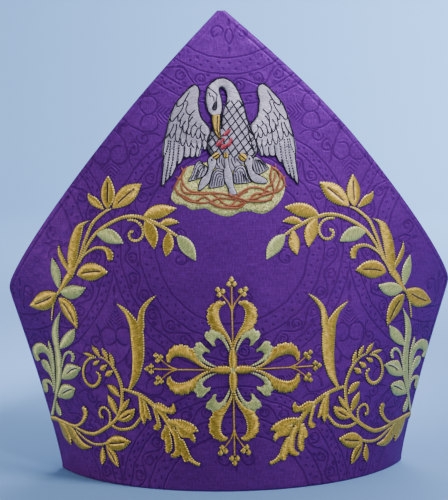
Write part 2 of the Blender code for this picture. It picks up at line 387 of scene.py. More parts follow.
def make_panel(name, side):
    rings, ring_uvs = [], []
    for z in cloth_heights():
        shift, reach, cut = lean(z), cloth_reach(z), 0.0 if side == FRONT else BACK_CUT
        # the hem is rounded, and above the corner the turned edge swells free of the seam
        thin = HEM_ROUND * (1.0 - math.sqrt(1.0 - max(0.0, 1.0 - z / HEM_RISE) ** 2))
        free = min(1.0, max(0.0, (z - CORNER_HEIGHT) / (2.0 * CORNER_ROUNDING)))
        # place, inset, then along and up on the cloth map: the face, one edge, the inside and the other edge
        ring = []
        for place in cloth_columns(reach):
            relief = min(MOST_RELIEF, cloth_relief(place + cut, z, reach - abs(place)))
            ring.append((place, thin - relief, place, z))
        edge = []
        for inset in RIM_STEPS:
            half = cloth_reach(z, inset) + free * PANEL_WALL / 3.0 * math.sin(math.pi * inset / PANEL_WALL)
            edge.append((half, max(thin, min(PANEL_WALL - thin, inset)), half + inset, z))
        inside = reversed(cloth_columns(cloth_reach(z, PANEL_WALL)))
        ring += edge + [(place, PANEL_WALL - thin, place, z + HEIGHT) for place in inside]
        ring += [(-half, inset, -along, up) for half, inset, along, up in reversed(edge)]
        rings.append([panel_point(side, shift + place, z, inset) for place, inset, _, _ in ring])
        ring_uvs.append([(MM * (shift + along), MM * up) for _, _, along, up in ring])
    return closed_cloth(name, rings, ring_uvs, damask)


def flat_area():
    """The area of a panel's flat cut, in square metres."""
    return sum(2.0 * cloth_reach(z + 0.5) for z in range(int(HEIGHT))) * MM * MM


panel_flat = (2.0 * MM * max(cloth_reach(z) for z in range(100, 150)), MM * HEIGHT)
for name, side in (("front", FRONT), ("back", BACK)):
    panel = make_panel(name + "_damask", side)
    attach(panel, "root")
    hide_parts(name + "_panel")
    flat_area()

# The lining cloth between the horns: soft violet satin, sewn inside both sloping edges. It is built opened into a
# rounded valley with a few slack folds, as when the mitre is worn; the real one folds flat when it is put away.
GUSSET_WALL, GUSSET_GAP, GUSSET_END, GUSSET_INSET = 1.6, 0.5, 0.06, 1.4
GUSSET_ROWS, GUSSET_COLUMNS = 120, 60
VALLEY_HEIGHT, VALLEY_RISE, VALLEY_ROUND, VALLEY_FOLD = 119.0, 8.0, 0.22, 0.9
# half its length and half its width on the cloth map
GUSSET_HALF_LENGTH, GUSSET_HALF_WIDTH = 150.0, 60.0


def satin_cloth(name, light, dark, gloss):
    """A plain satin, woven so that it is smooth and soft to the eye: fine streaks and faint lighter and darker
    clouds some 35 mm across.
    """
    made, shader, node = new_material(name)
    place = node("TexCoord", out="Object")
    # warp threads 0.3 mm apart, drawn 1 mm apart so that they show
    warp = node("Mapping", {"Vector": place, "Scale": (1000.0, 220.0, 220.0)})
    streaks = node("TexNoise", {"Vector": warp, "Scale": 1.0, "Detail": 3.0})
    clouds = node("TexNoise", {"Vector": place, "Scale": 28.0, "Detail": 2.0})
    tone = node("Math", (node("Math", (streaks, clouds), operation="ADD"), 0.5), operation="MULTIPLY")
    feed(shader, {
        "Base Color": node("Mix", {0: tone, 6: paint(dark), 7: paint(light)}, out=2, data_type="RGBA"),
        "Roughness": node("Math", (streaks, 0.2, gloss), operation="MULTIPLY_ADD"),
        "Specular IOR Level": 0.1,
        "Specular Tint": paint("#b87cf0"),
        "Sheen Weight": 0.05,
        "Sheen Tint": paint("#9a6bff"),
        "Normal": node("Bump", {"Height": streaks, "Strength": 0.35, "Distance": 0.25 * MM}),
    })
    return made


lining = satin_cloth("violet_satin_lining", "#4c167a", "#290a4c", 0.5)


def gusset_edge(side, along, rise):
    z = CORNER_HEIGHT + rise * (HEIGHT - CORNER_HEIGHT) - GUSSET_INSET
    inset = PANEL_WALL + GUSSET_GAP + GUSSET_WALL / 2.0
    reach = cloth_reach(z) - GUSSET_INSET
    return panel_point(side, lean(z) + math.copysign(reach, along), z, inset)


def make_gusset():
    rings, ring_uvs = [], []
    for i in range(GUSSET_ROWS + 1):
        along = (2.0 * i / GUSSET_ROWS - 1.0) * (1.0 - GUSSET_END)
        rise = 1.0 - abs(along)
        front_edge, back_edge = gusset_edge(FRONT, along, rise), gusset_edge(BACK, along, rise)
        valley = MM * (VALLEY_HEIGHT + VALLEY_RISE * along**4)
        shares = [2.0 * j / GUSSET_COLUMNS - 1.0 for j in range(GUSSET_COLUMNS + 1)]
        middle = []
        for v in shares:
            at = front_edge.lerp(back_edge, (v + 1.0) / 2.0)
            climb = (math.hypot(v, VALLEY_ROUND) - VALLEY_ROUND) / (math.hypot(1.0, VALLEY_ROUND) - VALLEY_ROUND)
            free = (1.0 - v * v) * min(1.0, rise * 4.0)
            fold = VALLEY_FOLD * noise.noise(Vector((along * 9.0 + 2.0 * v, v * 1.6, 5.0))) * free
            middle.append(Vector((at.x, at.y, valley + (at.z - valley) * climb + MM * fold)))
        upper, lower = [], []
        for j, point in enumerate(middle):
            run = middle[min(GUSSET_COLUMNS, j + 1)] - middle[max(0, j - 1)]
            normal = Vector((0.0, -run.z, run.y)).normalized() * (MM * GUSSET_WALL / 2.0)
            upper.append(point + normal)
            lower.append(point - normal)
        rings.append(upper + lower[::-1])
        places = [(MM * GUSSET_HALF_LENGTH * along, MM * GUSSET_HALF_WIDTH * v) for v in shares]
        ring_uvs.append(places + places[::-1])
    return closed_cloth("crown_lining", rings, ring_uvs, lining)


gusset = make_gusset()
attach(gusset, "root")
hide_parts("crown_gusset")

# The two lappets: stiffened strips of the same damask, sewn to the foot of the back panel. Here they bend
# back from the rim and lie flat on the table behind it, a little apart at their ends.
LAPPET_WALL, LAPPET_LENGTH, LAPPET_TOP, LAPPET_BEND = 2.4, 320.0, 34.0, 14.0
LAPPET_TOP_WIDTH, LAPPET_END_WIDTH, LAPPET_OFFSET = 52.0, 60.0, 32.0
# rows along the sewn, the bent and the laid part, and columns across
LAPPET_SEWN, LAPPET_BENT, LAPPET_LAID, LAPPET_COLUMNS = 12, 24, 90, 32
LAPPET_STITCH_DIP, LAPPET_STITCH_FROM_EDGE, LAPPET_STITCH_SPREAD = 0.25, 4.0, 0.9
# how much of the wall the turned edge loses, over which width, and how far aside each is cut on the damask
LAPPET_EDGE_THIN, LAPPET_EDGE_WIDTH, LAPPET_CUT = 0.45, 1.5, 70.0


def lappet_rows(hand):
    """Centre, outward direction, turn of the face and length so far, from the sewn top to the end."""
    clear = SEWN_GAP + LAPPET_WALL / 2.0
    bend_top = LAPPET_BEND + LAPPET_WALL / 2.0
    middle = hand * LAPPET_OFFSET

    def sewn_at(z):
        turn = middle / bow_radius(z)
        return panel_point(BACK, middle, z, -clear), Vector((math.sin(turn), math.cos(turn), 0.0))

    rows = []
    for i in range(LAPPET_SEWN):
        z = LAPPET_TOP + (bend_top - LAPPET_TOP) * i / LAPPET_SEWN
        rows.append((*sewn_at(z), 0.0, LAPPET_TOP - z))
    start, out = sewn_at(bend_top)
    length = LAPPET_TOP - bend_top
    for i in range(LAPPET_BENT + 1):
        angle = math.pi / 2.0 * i / LAPPET_BENT
        fall = Vector((0.0, 0.0, MM * LAPPET_BEND * math.sin(angle)))
        at = start + out * (MM * LAPPET_BEND * (1.0 - math.cos(angle))) - fall
        rows.append((at, out, angle, length + LAPPET_BEND * angle))
    at, _, angle, length = rows[-1]
    for i in range(1, LAPPET_LAID + 1):
        run = (LAPPET_LENGTH - length) * i / LAPPET_LAID
        rows.append((at + out * (MM * run), out, angle, length + run))
    return rows


def make_lappet(name, hand):
    rings, ring_uvs = [], []
    for centre, out, angle, length in lappet_rows(hand):
        width = LAPPET_TOP_WIDTH + (LAPPET_END_WIDTH - LAPPET_TOP_WIDTH) * length / LAPPET_LENGTH
        across = Vector((out.y, -out.x, 0.0))
        face = out * math.cos(angle) + Vector((0.0, 0.0, math.sin(angle)))
        radius = bow_radius(centre.z / MM)
        over, under, uvs = [], [], []
        for j in range(LAPPET_COLUMNS + 1):
            w = width * (j / LAPPET_COLUMNS - 0.5)
            sag = math.cos(angle) * (radius - math.sqrt(radius * radius - w * w))
            from_edge = min(width / 2.0 - abs(w), LAPPET_LENGTH - length)
            off_stitch = (from_edge - LAPPET_STITCH_FROM_EDGE) / LAPPET_STITCH_SPREAD
            stitch = -LAPPET_STITCH_DIP * math.exp(-(off_stitch**2))
            turned = max(0.0, 1.0 - from_edge / LAPPET_EDGE_WIDTH) ** 2
            thin = LAPPET_WALL / 2.0 * (1.0 - LAPPET_EDGE_THIN * turned)
            point = centre + across * (MM * w) - out * (MM * sag)
            over.append(point + face * (MM * (thin + stitch)))
            under.append(point - face * (MM * thin))
            uvs.append((MM * (hand * LAPPET_CUT + w), -MM * length))
        rings.append(over + under[::-1])
        ring_uvs.append(uvs + uvs[::-1])
    return closed_cloth(name, rings, ring_uvs, damask)


for name, hand in (("lappet_left", -1), ("lappet_right", 1)):
    strip = make_lappet(name + "_damask", hand)
    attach(strip, "root")
    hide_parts(name)

# The scrolls of foliage: gold and sage-green rayon thread in raised satin stitch, worked through the damask.
# Each leaf and stem is a low cushion of threads 1 mm high, whose toothed edge shows the needle holes, with painted
# shade in them and painted highlights on the stitch ends. It is built stitch by stitch, because each bar has its own
# course over the bowed cloth.
STITCH_PITCH = 1.6
# how strongly the beads of the edge, painted highlights on the stitch ends, and the painted shadow where the threads
# dive into the cloth, show
BEAD_SHARE, DIVE_SHADOW_SHARE = 0.85, 0.85
# a bar is full height from this width on, and its rim is sunk in the cloth
FULL_WIDTH, LEAST_RISE, RIM_HEIGHT, RIM_SUNK, DOME_POWER = 5.0, 0.35, 0.22, -0.25, 0.55
GROOVE_DEPTH, GROOVE_WIDTH = 0.55, 0.22
# a leaf narrows by this power towards its ends, down to the least width
LEAF_POWER, LEAST_WIDTH = 0.85, 0.3
# a bar's ends count as this far from its edge at least, and a bar with no beads as all middle
END_MARGIN, NO_EDGE = 0.3, 5.0
# how far a thread leans for 1 mm across, how deep it lies from the next, and where the lip beside a vein is
THREAD_LEAN, THREAD_DEPTH, LIP_PLACE = 0.35, 0.14, 0.95


def set_tones(ramp, low, dark, mid, light):
    """Gives the colour ramp behind an output its three tones, dark at low and light at 0.8."""
    stops = ramp.node.color_ramp.elements
    stops[0].position, stops[0].color = low, paint(dark)
    stops[1].position, stops[1].color = 0.8, paint(light)
    stops.new(0.5).color = paint(mid)


def embroidery_thread(name, light, mid, dark, gleam, metal=0.15, lip=0.35):
    """Rayon thread laid close in satin stitch, so that it gleams like silk and the gleam runs along the bar.
    The map "thread" runs in metres along a bar and across it from its middle line. The attribute "edge" is the
    distance to the bar's edge in mm, and "vein" is 1 where a leaf is slit."""
    made, shader, node = new_material(name)
    run = node("SeparateXYZ", (node("UVMap", uv_map="thread"),)).node.outputs
    along, across = (node("Math", (part, MM), operation="DIVIDE") for part in run[:2])
    slant = node("Math", (across, THREAD_LEAN, along), operation="MULTIPLY_ADD")
    # threads lie 0.4 mm apart, and are drawn 0.8 mm apart, two to each stitch of the edge
    turns = node("Math", (slant, 4.0 * math.pi / STITCH_PITCH), operation="MULTIPLY")
    lie = node("CombineXYZ", [node("Math", pair, operation="MULTIPLY") for pair in ((slant, 1.5), (across, 0.3))])
    loose = node("TexNoise", {"Vector": lie, "Scale": 1.0, "Detail": 2.0, "Roughness": 0.6})
    ply = node("Math", (turns,), operation="SINE")
    ply = node("Math", (ply, THREAD_DEPTH, loose), operation="MULTIPLY_ADD")
    # the body's tone wanders at random along the thread; it is also darker in the grooves between threads, a painted
    # shade, and lighter on their crests, a painted highlight
    body = node("ValToRGB", (ply,))
    set_tones(body, 0.16, dark, mid, light)
    # the stitch ends along both edges, one each 1.6 mm, get a painted highlight, and the needle hole between them a
    # painted shade
    beat = node("Math", (along, 2.0 * math.pi / STITCH_PITCH), operation="MULTIPLY")
    beat = node("Math", (beat,), operation="COSINE")
    bead = node("MapRange", {"Value": beat, "From Min": -0.5, "From Max": 0.6}, interpolation_type="SMOOTHSTEP")
    bead_highlights = node("Mix", {0: bead, 6: paint(dark), 7: paint(gleam)}, out=2, data_type="RGBA")
    edge = node("Attribute", out="Fac", attribute_name="edge")
    vein = node("Attribute", out="Fac", attribute_name="vein")
    off_slit = node("Math", (across,), operation="ABSOLUTE")
    off_lip = node("Math", (node("Math", (across, LIP_PLACE), operation="ADD"),), operation="ABSOLUTE")
    # each of these is full up to its first distance and gone at its second: the beads of painted highlight, the
    # painted shadow where the threads dive into the cloth, the painted highlight on the lip beside a vein, and the
    # slit between the halves of the leaf, where the violet cloth shows, darkened by painted shade
    rim, dive_shadow, lip_highlight, slit = (
        node(
            "MapRange",
            {"Value": value, "From Min": full, "From Max": gone, "To Min": most, "To Max": 0.0},
            interpolation_type="SMOOTHSTEP",
        )
        for value, full, gone, most in (
            (edge, 0.5, 0.95, BEAD_SHARE), (edge, 0.02, 0.4, DIVE_SHADOW_SHARE),
            (off_lip, 0.2, 0.5, lip), (off_slit, 0.28, 0.66, 1.0),
        )
    )
    lip_highlight, slit = (node("Math", (share, vein), operation="MULTIPLY") for share in (lip_highlight, slit))
    colour = body
    for share, over in ((rim, bead_highlights), (dive_shadow, paint("#2a1420")), (lip_highlight, paint(gleam)), (slit, paint("#2a1433"))):
        colour = node("Mix", {0: share, 6: colour, 7: over}, out=2, data_type="RGBA")
    feed(shader, {
        "Base Color": colour,
        "Metallic": metal,
        "Roughness": node("Math", (loose, 0.25, 0.24), operation="MULTIPLY_ADD"),
        "Anisotropic": 0.8,
        "Tangent": node("Tangent", direction_type="UV_MAP", uv_map="thread"),
        "Normal": node("Bump", {"Height": ply, "Strength": 0.8, "Distance": 0.5 * MM}),
    })
    return made


gold_thread = embroidery_thread(
    "gold_rayon_thread", "#eed05e", "#b69224", "#2e2408", "#fae890", metal=0.68, lip=0.15
)
green_thread = embroidery_thread(
    "sage_rayon_thread", "#d6dc8e", "#a0ab5c", "#4c5222", "#f4f2bc", metal=0.4, lip=0.6
)


def cloth_spot(s, z, proud):
    """A point proud mm off the damask of the front panel."""
    from_edge = cloth_reach(z) - abs(s - lean(z))
    return panel_point(FRONT, s, z, -proud - min(MOST_RELIEF, cloth_relief(s - lean(z), z, from_edge)))


def along_curve(points, step):
    """A smooth curve through rows of numbers, the first two of them a place, at an even step of length."""
    padded = [points[0], *points, points[-1]]
    dense, parts = [], 12
    for a, b, c, d in zip(padded, padded[1:], padded[2:], padded[3:]):
        for k in range(parts):
            t = k / parts
            dense.append([
                0.5 * (2 * q + (r - p) * t + (2 * p - 5 * q + 4 * r - w) * t * t + (3 * q - p - 3 * r + w) * t**3)
                for p, q, r, w in zip(a, b, c, d)
            ])
    dense.append(list(points[-1]))
    lengths = [0.0]
    for a, b in zip(dense, dense[1:]):
        lengths.append(lengths[-1] + math.hypot(b[0] - a[0], b[1] - a[1]))
    count = max(3, round(lengths[-1] / step))
    even, at = [], 0
    for i in range(count + 1):
        wanted = lengths[-1] * i / count
        while at < len(lengths) - 2 and lengths[at + 1] < wanted:
            at += 1
        span = lengths[at + 1] - lengths[at]
        t = (wanted - lengths[at]) / span if span > 0.0 else 0.0
        even.append([a + (b - a) * t for a, b in zip(dense[at], dense[at + 1])])
    return even


def leaf_line(base_u, base_z, tip_u, tip_z, width, bow, fullest):
    """Centre line and width of a leaf, from its foot to its point."""
    du, dz = tip_u - base_u, tip_z - base_z
    length = math.hypot(du, dz)
    side_u, side_z = -dz / length, du / length
    power = math.log(0.5) / math.log(fullest)
    steps = 16
    line = []
    for i in range(steps + 1):
        t = i / steps
        off = bow * 4.0 * t * (1.0 - t)
        wide = width * math.sin(math.pi * t**power) ** LEAF_POWER if 0 < i < steps else 0.0
        line.append((base_u + du * t + side_u * off, base_z + dz * t + side_z * off, max(wide, LEAST_WIDTH)))
    return line


class Needlework:
    """Collects bars of satin stitch into one mesh."""

    def __init__(self):
        self.mesh = bmesh.new()
        self.thread = self.mesh.loops.layers.uv.new("thread")
        self.vein = self.mesh.verts.layers.float.new("vein")
        self.edge = self.mesh.verts.layers.float.new("edge")
        self.places = {}

    def bar(self, rungs, rise, slit=None, floor=0.0, steps=10, serrate=0.16, edged=True):
        """rungs are pairs of cloth places, one at each edge of the bar. slit is where its vein begins and ends."""
        loops = []
        length = 0.0
        middles = [((a[0] + b[0]) / 2.0, (a[1] + b[1]) / 2.0) for a, b in rungs]
        whole = sum(math.dist(a, b) for a, b in zip(middles, middles[1:]))
        for i, (left, right) in enumerate(rungs):
            if i:
                length += math.dist(middles[i], middles[i - 1])
            width = max(0.01, math.dist(left, right))
            tooth = (serrate if i % 2 else -serrate) / width if 0 < i < len(rungs) - 1 else 0.0
            share = i / (len(rungs) - 1)
            veined = 1.0 if slit and slit[0] < share < slit[1] else 0.0
            swell = rise * min(1.0, LEAST_RISE + width / FULL_WIDTH)
            loop = []
            for k in range(-1, steps + 2):
                t = min(1.0, max(0.0, k / steps))
                off_middle = 2.0 * t - 1.0
                spread = t + tooth * off_middle
                s = left[0] + (right[0] - left[0]) * spread
                z = left[1] + (right[1] - left[1]) * spread
                dome = (1.0 - off_middle**2) ** DOME_POWER
                groove = GROOVE_DEPTH * veined * max(0.0, 1.0 - abs(off_middle) / GROOVE_WIDTH)
                height = floor + RIM_HEIGHT + swell * dome * (1.0 - groove)
                vert = self.mesh.verts.new(cloth_spot(s, z, RIM_SUNK if k in (-1, steps + 1) else height))
                vert[self.vein] = veined
                from_end = min(length, whole - length) + END_MARGIN
                vert[self.edge] = min(min(t, 1.0 - t) * width, from_end) if edged else NO_EDGE
                self.places[vert] = (MM * length, MM * width * (t - 0.5))
                loop.append(vert)
            loops.append(loop)
        faces = []
        count = len(loops[0])
        for lower, upper in zip(loops, loops[1:]):
            for k in range(count):
                j = (k + 1) % count
                faces.append(self.mesh.faces.new((lower[k], lower[j], upper[j], upper[k])))
        for loop in (loops[0], loops[-1]):
            faces.append(self.mesh.faces.new(loop))
        bmesh.ops.recalc_face_normals(self.mesh, faces=faces)

    def line(self, points, place, rise, **settings):
        """A bar on a centre line of rows (u, z, width). place turns a chart point to a place on the cloth."""
        even = along_curve(points, STITCH_PITCH / 2.0)
        rungs = []
        for i, (u, z, width) in enumerate(even):
            before, after = even[max(0, i - 1)], even[min(len(even) - 1, i + 1)]
            du, dz = after[0] - before[0], after[1] - before[1]
            length = math.hypot(du, dz) or 1.0
            half_u, half_z = -dz / length * width / 2.0, du / length * width / 2.0
            rungs.append((place(u + half_u, z + half_z), place(u - half_u, z - half_z)))
        self.bar(rungs, rise, **settings)

    def finish(self, name, material):
        for face in self.mesh.faces:
            face.smooth = True
            for corner in face.loops:
                corner[self.thread].uv = self.places[corner.vert]
        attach(new_piece(name, self.mesh, material), "root")


# thread; foot u, z; point u, z; width; bow; fullest at; vein. u is the distance from the centre line, z the
# height, in mm, and both scrolls are worked from this one chart.
SCROLL_LEAVES = (
    ("gold", 80.5, 180.5, 79.2, 202, 10, 0, 0.45, "slit"),
    ("gold", 77, 180.6, 57.2, 196.7, 11.8, -0.7, 0.5, "slit"),
    ("gold", 56.6, 175.6, 34.6, 180.8, 9.5, -0.8, 0.45, ""),
    ("gold", 46, 170.6, 33.1, 171.6, 5.5, -1.3, 0.45, ""),
    ("gold", 55.4, 173.6, 49.8, 154.8, 9.2, -1.2, 0.45, ""),
    ("gold", 40.2, 166.6, 42.4, 150, 7.7, -0.7, 0.5, ""),
    ("green", 34.8, 163.6, 23, 147.3, 9, -0.7, 0.45, ""),
    ("green", 88.9, 164.4, 70.2, 158.2, 9.8, -1.5, 0.45, ""),
    ("gold", 104.5, 137.2, 81.3, 139.4, 12.3, -1.4, 0.45, "slit"),
    ("green", 119.2, 126.8, 123.1, 148, 8, 0, 0.5, ""),
    ("green", 118.8, 125.4, 98.1, 129.2, 9.6, 1.5, 0.45, ""),
    ("gold", 121, 124.4, 148.5, 114, 12.8, -1.2, 0.45, "slit"),
    ("gold", 120.2, 121.6, 107, 101.3, 11, -1.4, 0.42, "slit"),
    ("gold", 76.2, 58, 86.2, 66, 5.8, 0.5, 0.55, ""),
    ("gold", 78.8, 45.4, 86.1, 59.6, 5.9, 0, 0.55, ""),
    ("gold", 76.9, 48.6, 69.3, 58.2, 4.2, 0, 0.45, ""),
    ("gold", 79.9, 43.4, 65.8, 51.9, 7.8, 1.5, 0.5, "rib"),
    ("gold", 90.8, 26.4, 70, 29.8, 10.7, 0.3, 0.48, "slit"),
    ("gold", 90, 25.6, 80.4, 11.8, 7.3, 0, 0.5, "slit"),
    ("gold", 92.8, 24.6, 94.6, 11.4, 5.8, 0, 0.55, ""),
    ("gold", 138.5, 35.6, 126, 20.3, 10.4, -0.6, 0.5, ""),
    ("gold", 94, 84, 104.2, 85.6, 3, 0, 0.5, ""),
    ("gold", 89.8, 83.6, 96.3, 91, 4, 0, 0.5, ""),
    ("gold", 84, 82.4, 88.6, 90, 3.6, 0, 0.5, ""),
    ("gold", 79.9, 77.8, 82.9, 87.2, 3.6, 0, 0.5, ""),
    ("gold", 90, 81.8, 96.6, 78.2, 3.6, 0, 0.6, ""),
    ("gold", 84.4, 79.4, 91, 75.2, 4.4, 0, 0.6, ""),
    ("gold", 80.2, 76, 87, 71.6, 4.6, 0, 0.6, ""),
)
# stems and long blades in gold, each by its centre line: u, z, width
SCROLL_STEMS = (
    (
        (78, 180.5, 1.5), (82.5, 178.5, 2.4), (91, 171.4, 2.6), (96.5, 161, 2.6), (101.5, 149, 2.6),
        (105, 142, 2.4), (109, 137, 2),
    ),
    (
        (102, 145, 1.6), (95, 157.5, 2.5), (88.3, 165.3, 2.8), (80.8, 170.4, 2.8), (71.5, 174.7, 2.8),
        (63, 176, 2.8), (54, 173.8, 3), (44.4, 169.3, 2.8), (34.5, 163, 2),
    ),
    (
        (104, 143, 1.6), (98.7, 150, 2), (91.2, 154.7, 2.3), (86.2, 155.4, 2.6), (82.2, 154.2, 3.8),
        (80, 151.2, 5.3), (80.1, 147.2, 3.6),
    ),
    (
        (93, 173, 0.4), (98.3, 170.5, 3.1), (101.4, 166.9, 6.3), (105.1, 157.9, 8.1), (107.4, 148.3, 8),
        (109, 138.6, 6), (113.2, 133.6, 4.9), (116.6, 128.8, 3.6), (121.2, 123.4, 2.4),
    ),
    ((120.5, 125, 2), (124.2, 120, 1.8), (127.4, 111, 1.8), (128.9, 105, 1.4)),
    ((83, 180.3, 1.5), (87, 183.3, 5.2), (90, 185.6, 6.2), (92.3, 187.8, 4), (93.4, 191, 0.4)),
    ((110.5, 139.5, 2.6), (114.7, 146, 4.2), (117, 151.5, 3.4), (117.2, 156.9, 0.4)),
    (
        (159.5, 33, 0.6), (152, 35, 2.6), (143.7, 36, 3.4), (135.1, 35.4, 3.6), (122.2, 34.4, 2.8),
        (116.7, 35.2, 2.2), (111.4, 37.8, 2.6), (107.4, 42.4, 3.8), (106.9, 46.3, 4.8), (108.6, 48.6, 3.6),
    ),
    ((130, 35, 4), (124.5, 30, 8.4), (119, 25, 8.2), (112.5, 22, 6), (103.4, 22.2, 0.6)),
    (
        (122, 34.4, 2), (110.8, 32, 2.8), (104.3, 31.4, 3), (98.5, 32.2, 3), (89.4, 36.9, 3.1), (81.1, 42.9, 3),
        (76.8, 50, 2.8), (75, 59, 2.8), (75.6, 67, 2.8), (80, 76.6, 2.5), (86, 82.4, 2), (92, 84.2, 1.6),
    ),
    ((118, 31.4, 1.8), (110.2, 27.4, 2.2), (102, 24.9, 2.2), (94.4, 25.3, 2.2), (89, 27, 2)),
    (
        (86, 40.2, 2.2), (80.7, 37.7, 2.6), (76.2, 37.2, 2.6), (71.1, 38.1, 2.6), (66.7, 40.3, 2.6),
        (61.4, 46.5, 2.4),
    ),
    (
        (87, 38.5, 2), (85.2, 43, 2.2), (85.4, 47.4, 2.2), (87.9, 49.9, 2.2), (91.2, 50.3, 2.3), (93.6, 47.4, 2.4),
        (93, 44.1, 2.8), (90.6, 44, 2.2),
    ),
    (
        (74.4, 63.8, 2.4), (69.2, 62.8, 2.8), (61.3, 60.1, 3.2), (53.6, 54.9, 3.6), (45.9, 47.6, 4),
        (39.8, 38, 4.4), (33.2, 26.5, 4.2), (28, 19.6, 3.2), (22.8, 17, 2.6),
    ),
    (
        (69.5, 63.8, 2.4), (66.4, 69.2, 4.6), (64.2, 75, 6.6), (62.7, 84.5, 8.6), (62.6, 93, 9.4), (63.2, 101, 9.6),
        (65.4, 107, 6.6), (69.1, 113.2, 4), (72.9, 116.8, 2.6), (76.5, 119.7, 0.4),
    ),
    (
        (61.6, 99, 3), (60.4, 104.5, 5.4), (60, 110, 4.8), (58.6, 115.6, 4), (55.7, 119.8, 3.2), (52.5, 122.8, 2.3),
        (49.3, 125.2, 0.4),
    ),
    (
        (93.7, 83.4, 1.8), (99, 82, 2.3), (103.6, 77.4, 2.5), (105.3, 71, 2.5), (102.8, 65.5, 2.6),
        (97.2, 63.9, 2.8), (92.6, 67.2, 2.8), (91.5, 71.6, 2.5), (94, 73.8, 2),
    ),
)
# the green plant at the side: where a vein begins and ends, then rows from the root to the end, each with a
# place on either edge: u, z and u, z
SCROLL_PLANT = (
    (
        None, (149.9, 37.3, 144.5, 38.2), (143.5, 44.5, 140, 44.6), (138.6, 51.4, 135.1, 51.9),
        (136.4, 56.9, 131.6, 57.6), (134.3, 62.4, 128, 63.2), (132.3, 68.7, 125.6, 69.4),
        (131.1, 74.8, 124.3, 75.6), (130.4, 80.9, 123.9, 81.6), (130.3, 86.9, 124.2, 87.5),
        (130.9, 92, 124.3, 92.6), (130.8, 96.2, 124, 96.8), (129.3, 100.6, 123.2, 101.1),
        (126.9, 104.9, 122.1, 105.2), (123.3, 108.7, 120.8, 108.9), (120.4, 112.1, 119.8, 112.1),
    ),
    (
        None, (136, 57, 138.2, 56.7), (133.8, 64.2, 136.3, 63.9), (132.7, 72.1, 136.4, 70.8),
        (133, 78.1, 136.9, 75.9), (134.3, 82.6, 138.1, 79.4), (136.4, 86, 140, 81.4), (139.6, 88, 142.7, 82),
        (143.7, 89, 145.3, 81.7), (149.2, 88, 147.7, 80.7), (153.8, 85.3, 149.1, 79.5), (156.6, 81.8, 149.1, 78.5),
        (156.8, 78.6, 148.5, 77.7), (154.9, 76, 148.1, 77), (151.4, 74.9, 148.7, 76.1),
    ),
    (
        None, (134.6, 69.3, 132.6, 69.5), (134.8, 76.1, 131.5, 76.5), (135.2, 81.3, 131.5, 82.5),
        (135.5, 85.5, 132.5, 87.1), (135.5, 89, 133.6, 90.4), (134.7, 91.6, 134.4, 91.8),
    ),
    (
        None, (137.7, 61.1, 135.9, 61.3), (138.4, 64.9, 135.8, 64.8), (140.7, 68.1, 136.2, 69.5),
        (144.3, 69.6, 137.3, 73.3), (146.5, 71.7, 139.2, 76.3), (147.2, 74.2, 142.1, 77.4),
        (147, 75.8, 144.7, 77.1),
    ),
    (
        None, (137.1, 55.1, 138.8, 54.9), (136.8, 59.3, 138.8, 58.5), (138.6, 62.2, 140.7, 60.3),
        (141.2, 63.8, 142.7, 60.9), (145.2, 63.8, 144.2, 60.6), (149.8, 62.4, 144.8, 59.8),
        (153.1, 59.8, 144.9, 58.5), (154.2, 57.2, 144.8, 57.2), (153.7, 54.8, 145.6, 55.5),
        (151.1, 53.1, 147.4, 53.6),
    ),
    (
        None, (125.1, 74.2, 123.5, 74.4), (124.3, 76.8, 122.6, 77), (122.9, 80.4, 121.1, 79.7),
        (120.8, 83.6, 119.4, 82), (117.6, 85.9, 117.3, 83.5), (114.4, 86.3, 115.6, 83.9), (112, 84.7, 114.4, 83.1),
        (111.1, 82.4, 114.3, 81.8), (111.9, 80.1, 115, 80.4), (113.2, 78.7, 115, 79),
    ),
    (
        (0.3, 0.8), (126.2, 67.2, 125.5, 65.5), (124.4, 71.3, 120.5, 65.7), (121.9, 75.1, 115.5, 67),
        (119.2, 77.3, 111.7, 69), (113.9, 77.4, 109.7, 71.3), (109, 76.5, 107.6, 73.5), (106.4, 75.3, 106.4, 74.9),
    ),
    (
        (0.3, 0.8), (133.6, 53.6, 133.5, 52.1), (131.4, 57.6, 128.3, 51.8), (128.3, 61.1, 122.7, 52.2),
        (124.5, 62.9, 118.2, 54.2), (119.2, 62.8, 115.8, 56.7), (115.5, 61.7, 114.4, 59.1),
        (113.5, 60.6, 113.4, 60.4),
    ),
    (
        None, (124.3, 87, 123.3, 86.5), (123.6, 90.5, 118.1, 88.2), (121.2, 94.3, 113.6, 90.8),
        (117.3, 97.9, 110.6, 93.8), (112.8, 100.5, 109.3, 97.3), (108.9, 101.6, 108.9, 100),
    ),
    (
        None, (136.8, 49.2, 135.8, 49.3), (139, 45.7, 134.4, 45.9), (140.1, 42.4, 132.9, 43.5),
        (138.5, 40.2, 132.7, 41.3), (135.6, 39.1, 133.1, 39.6),
    ),
)
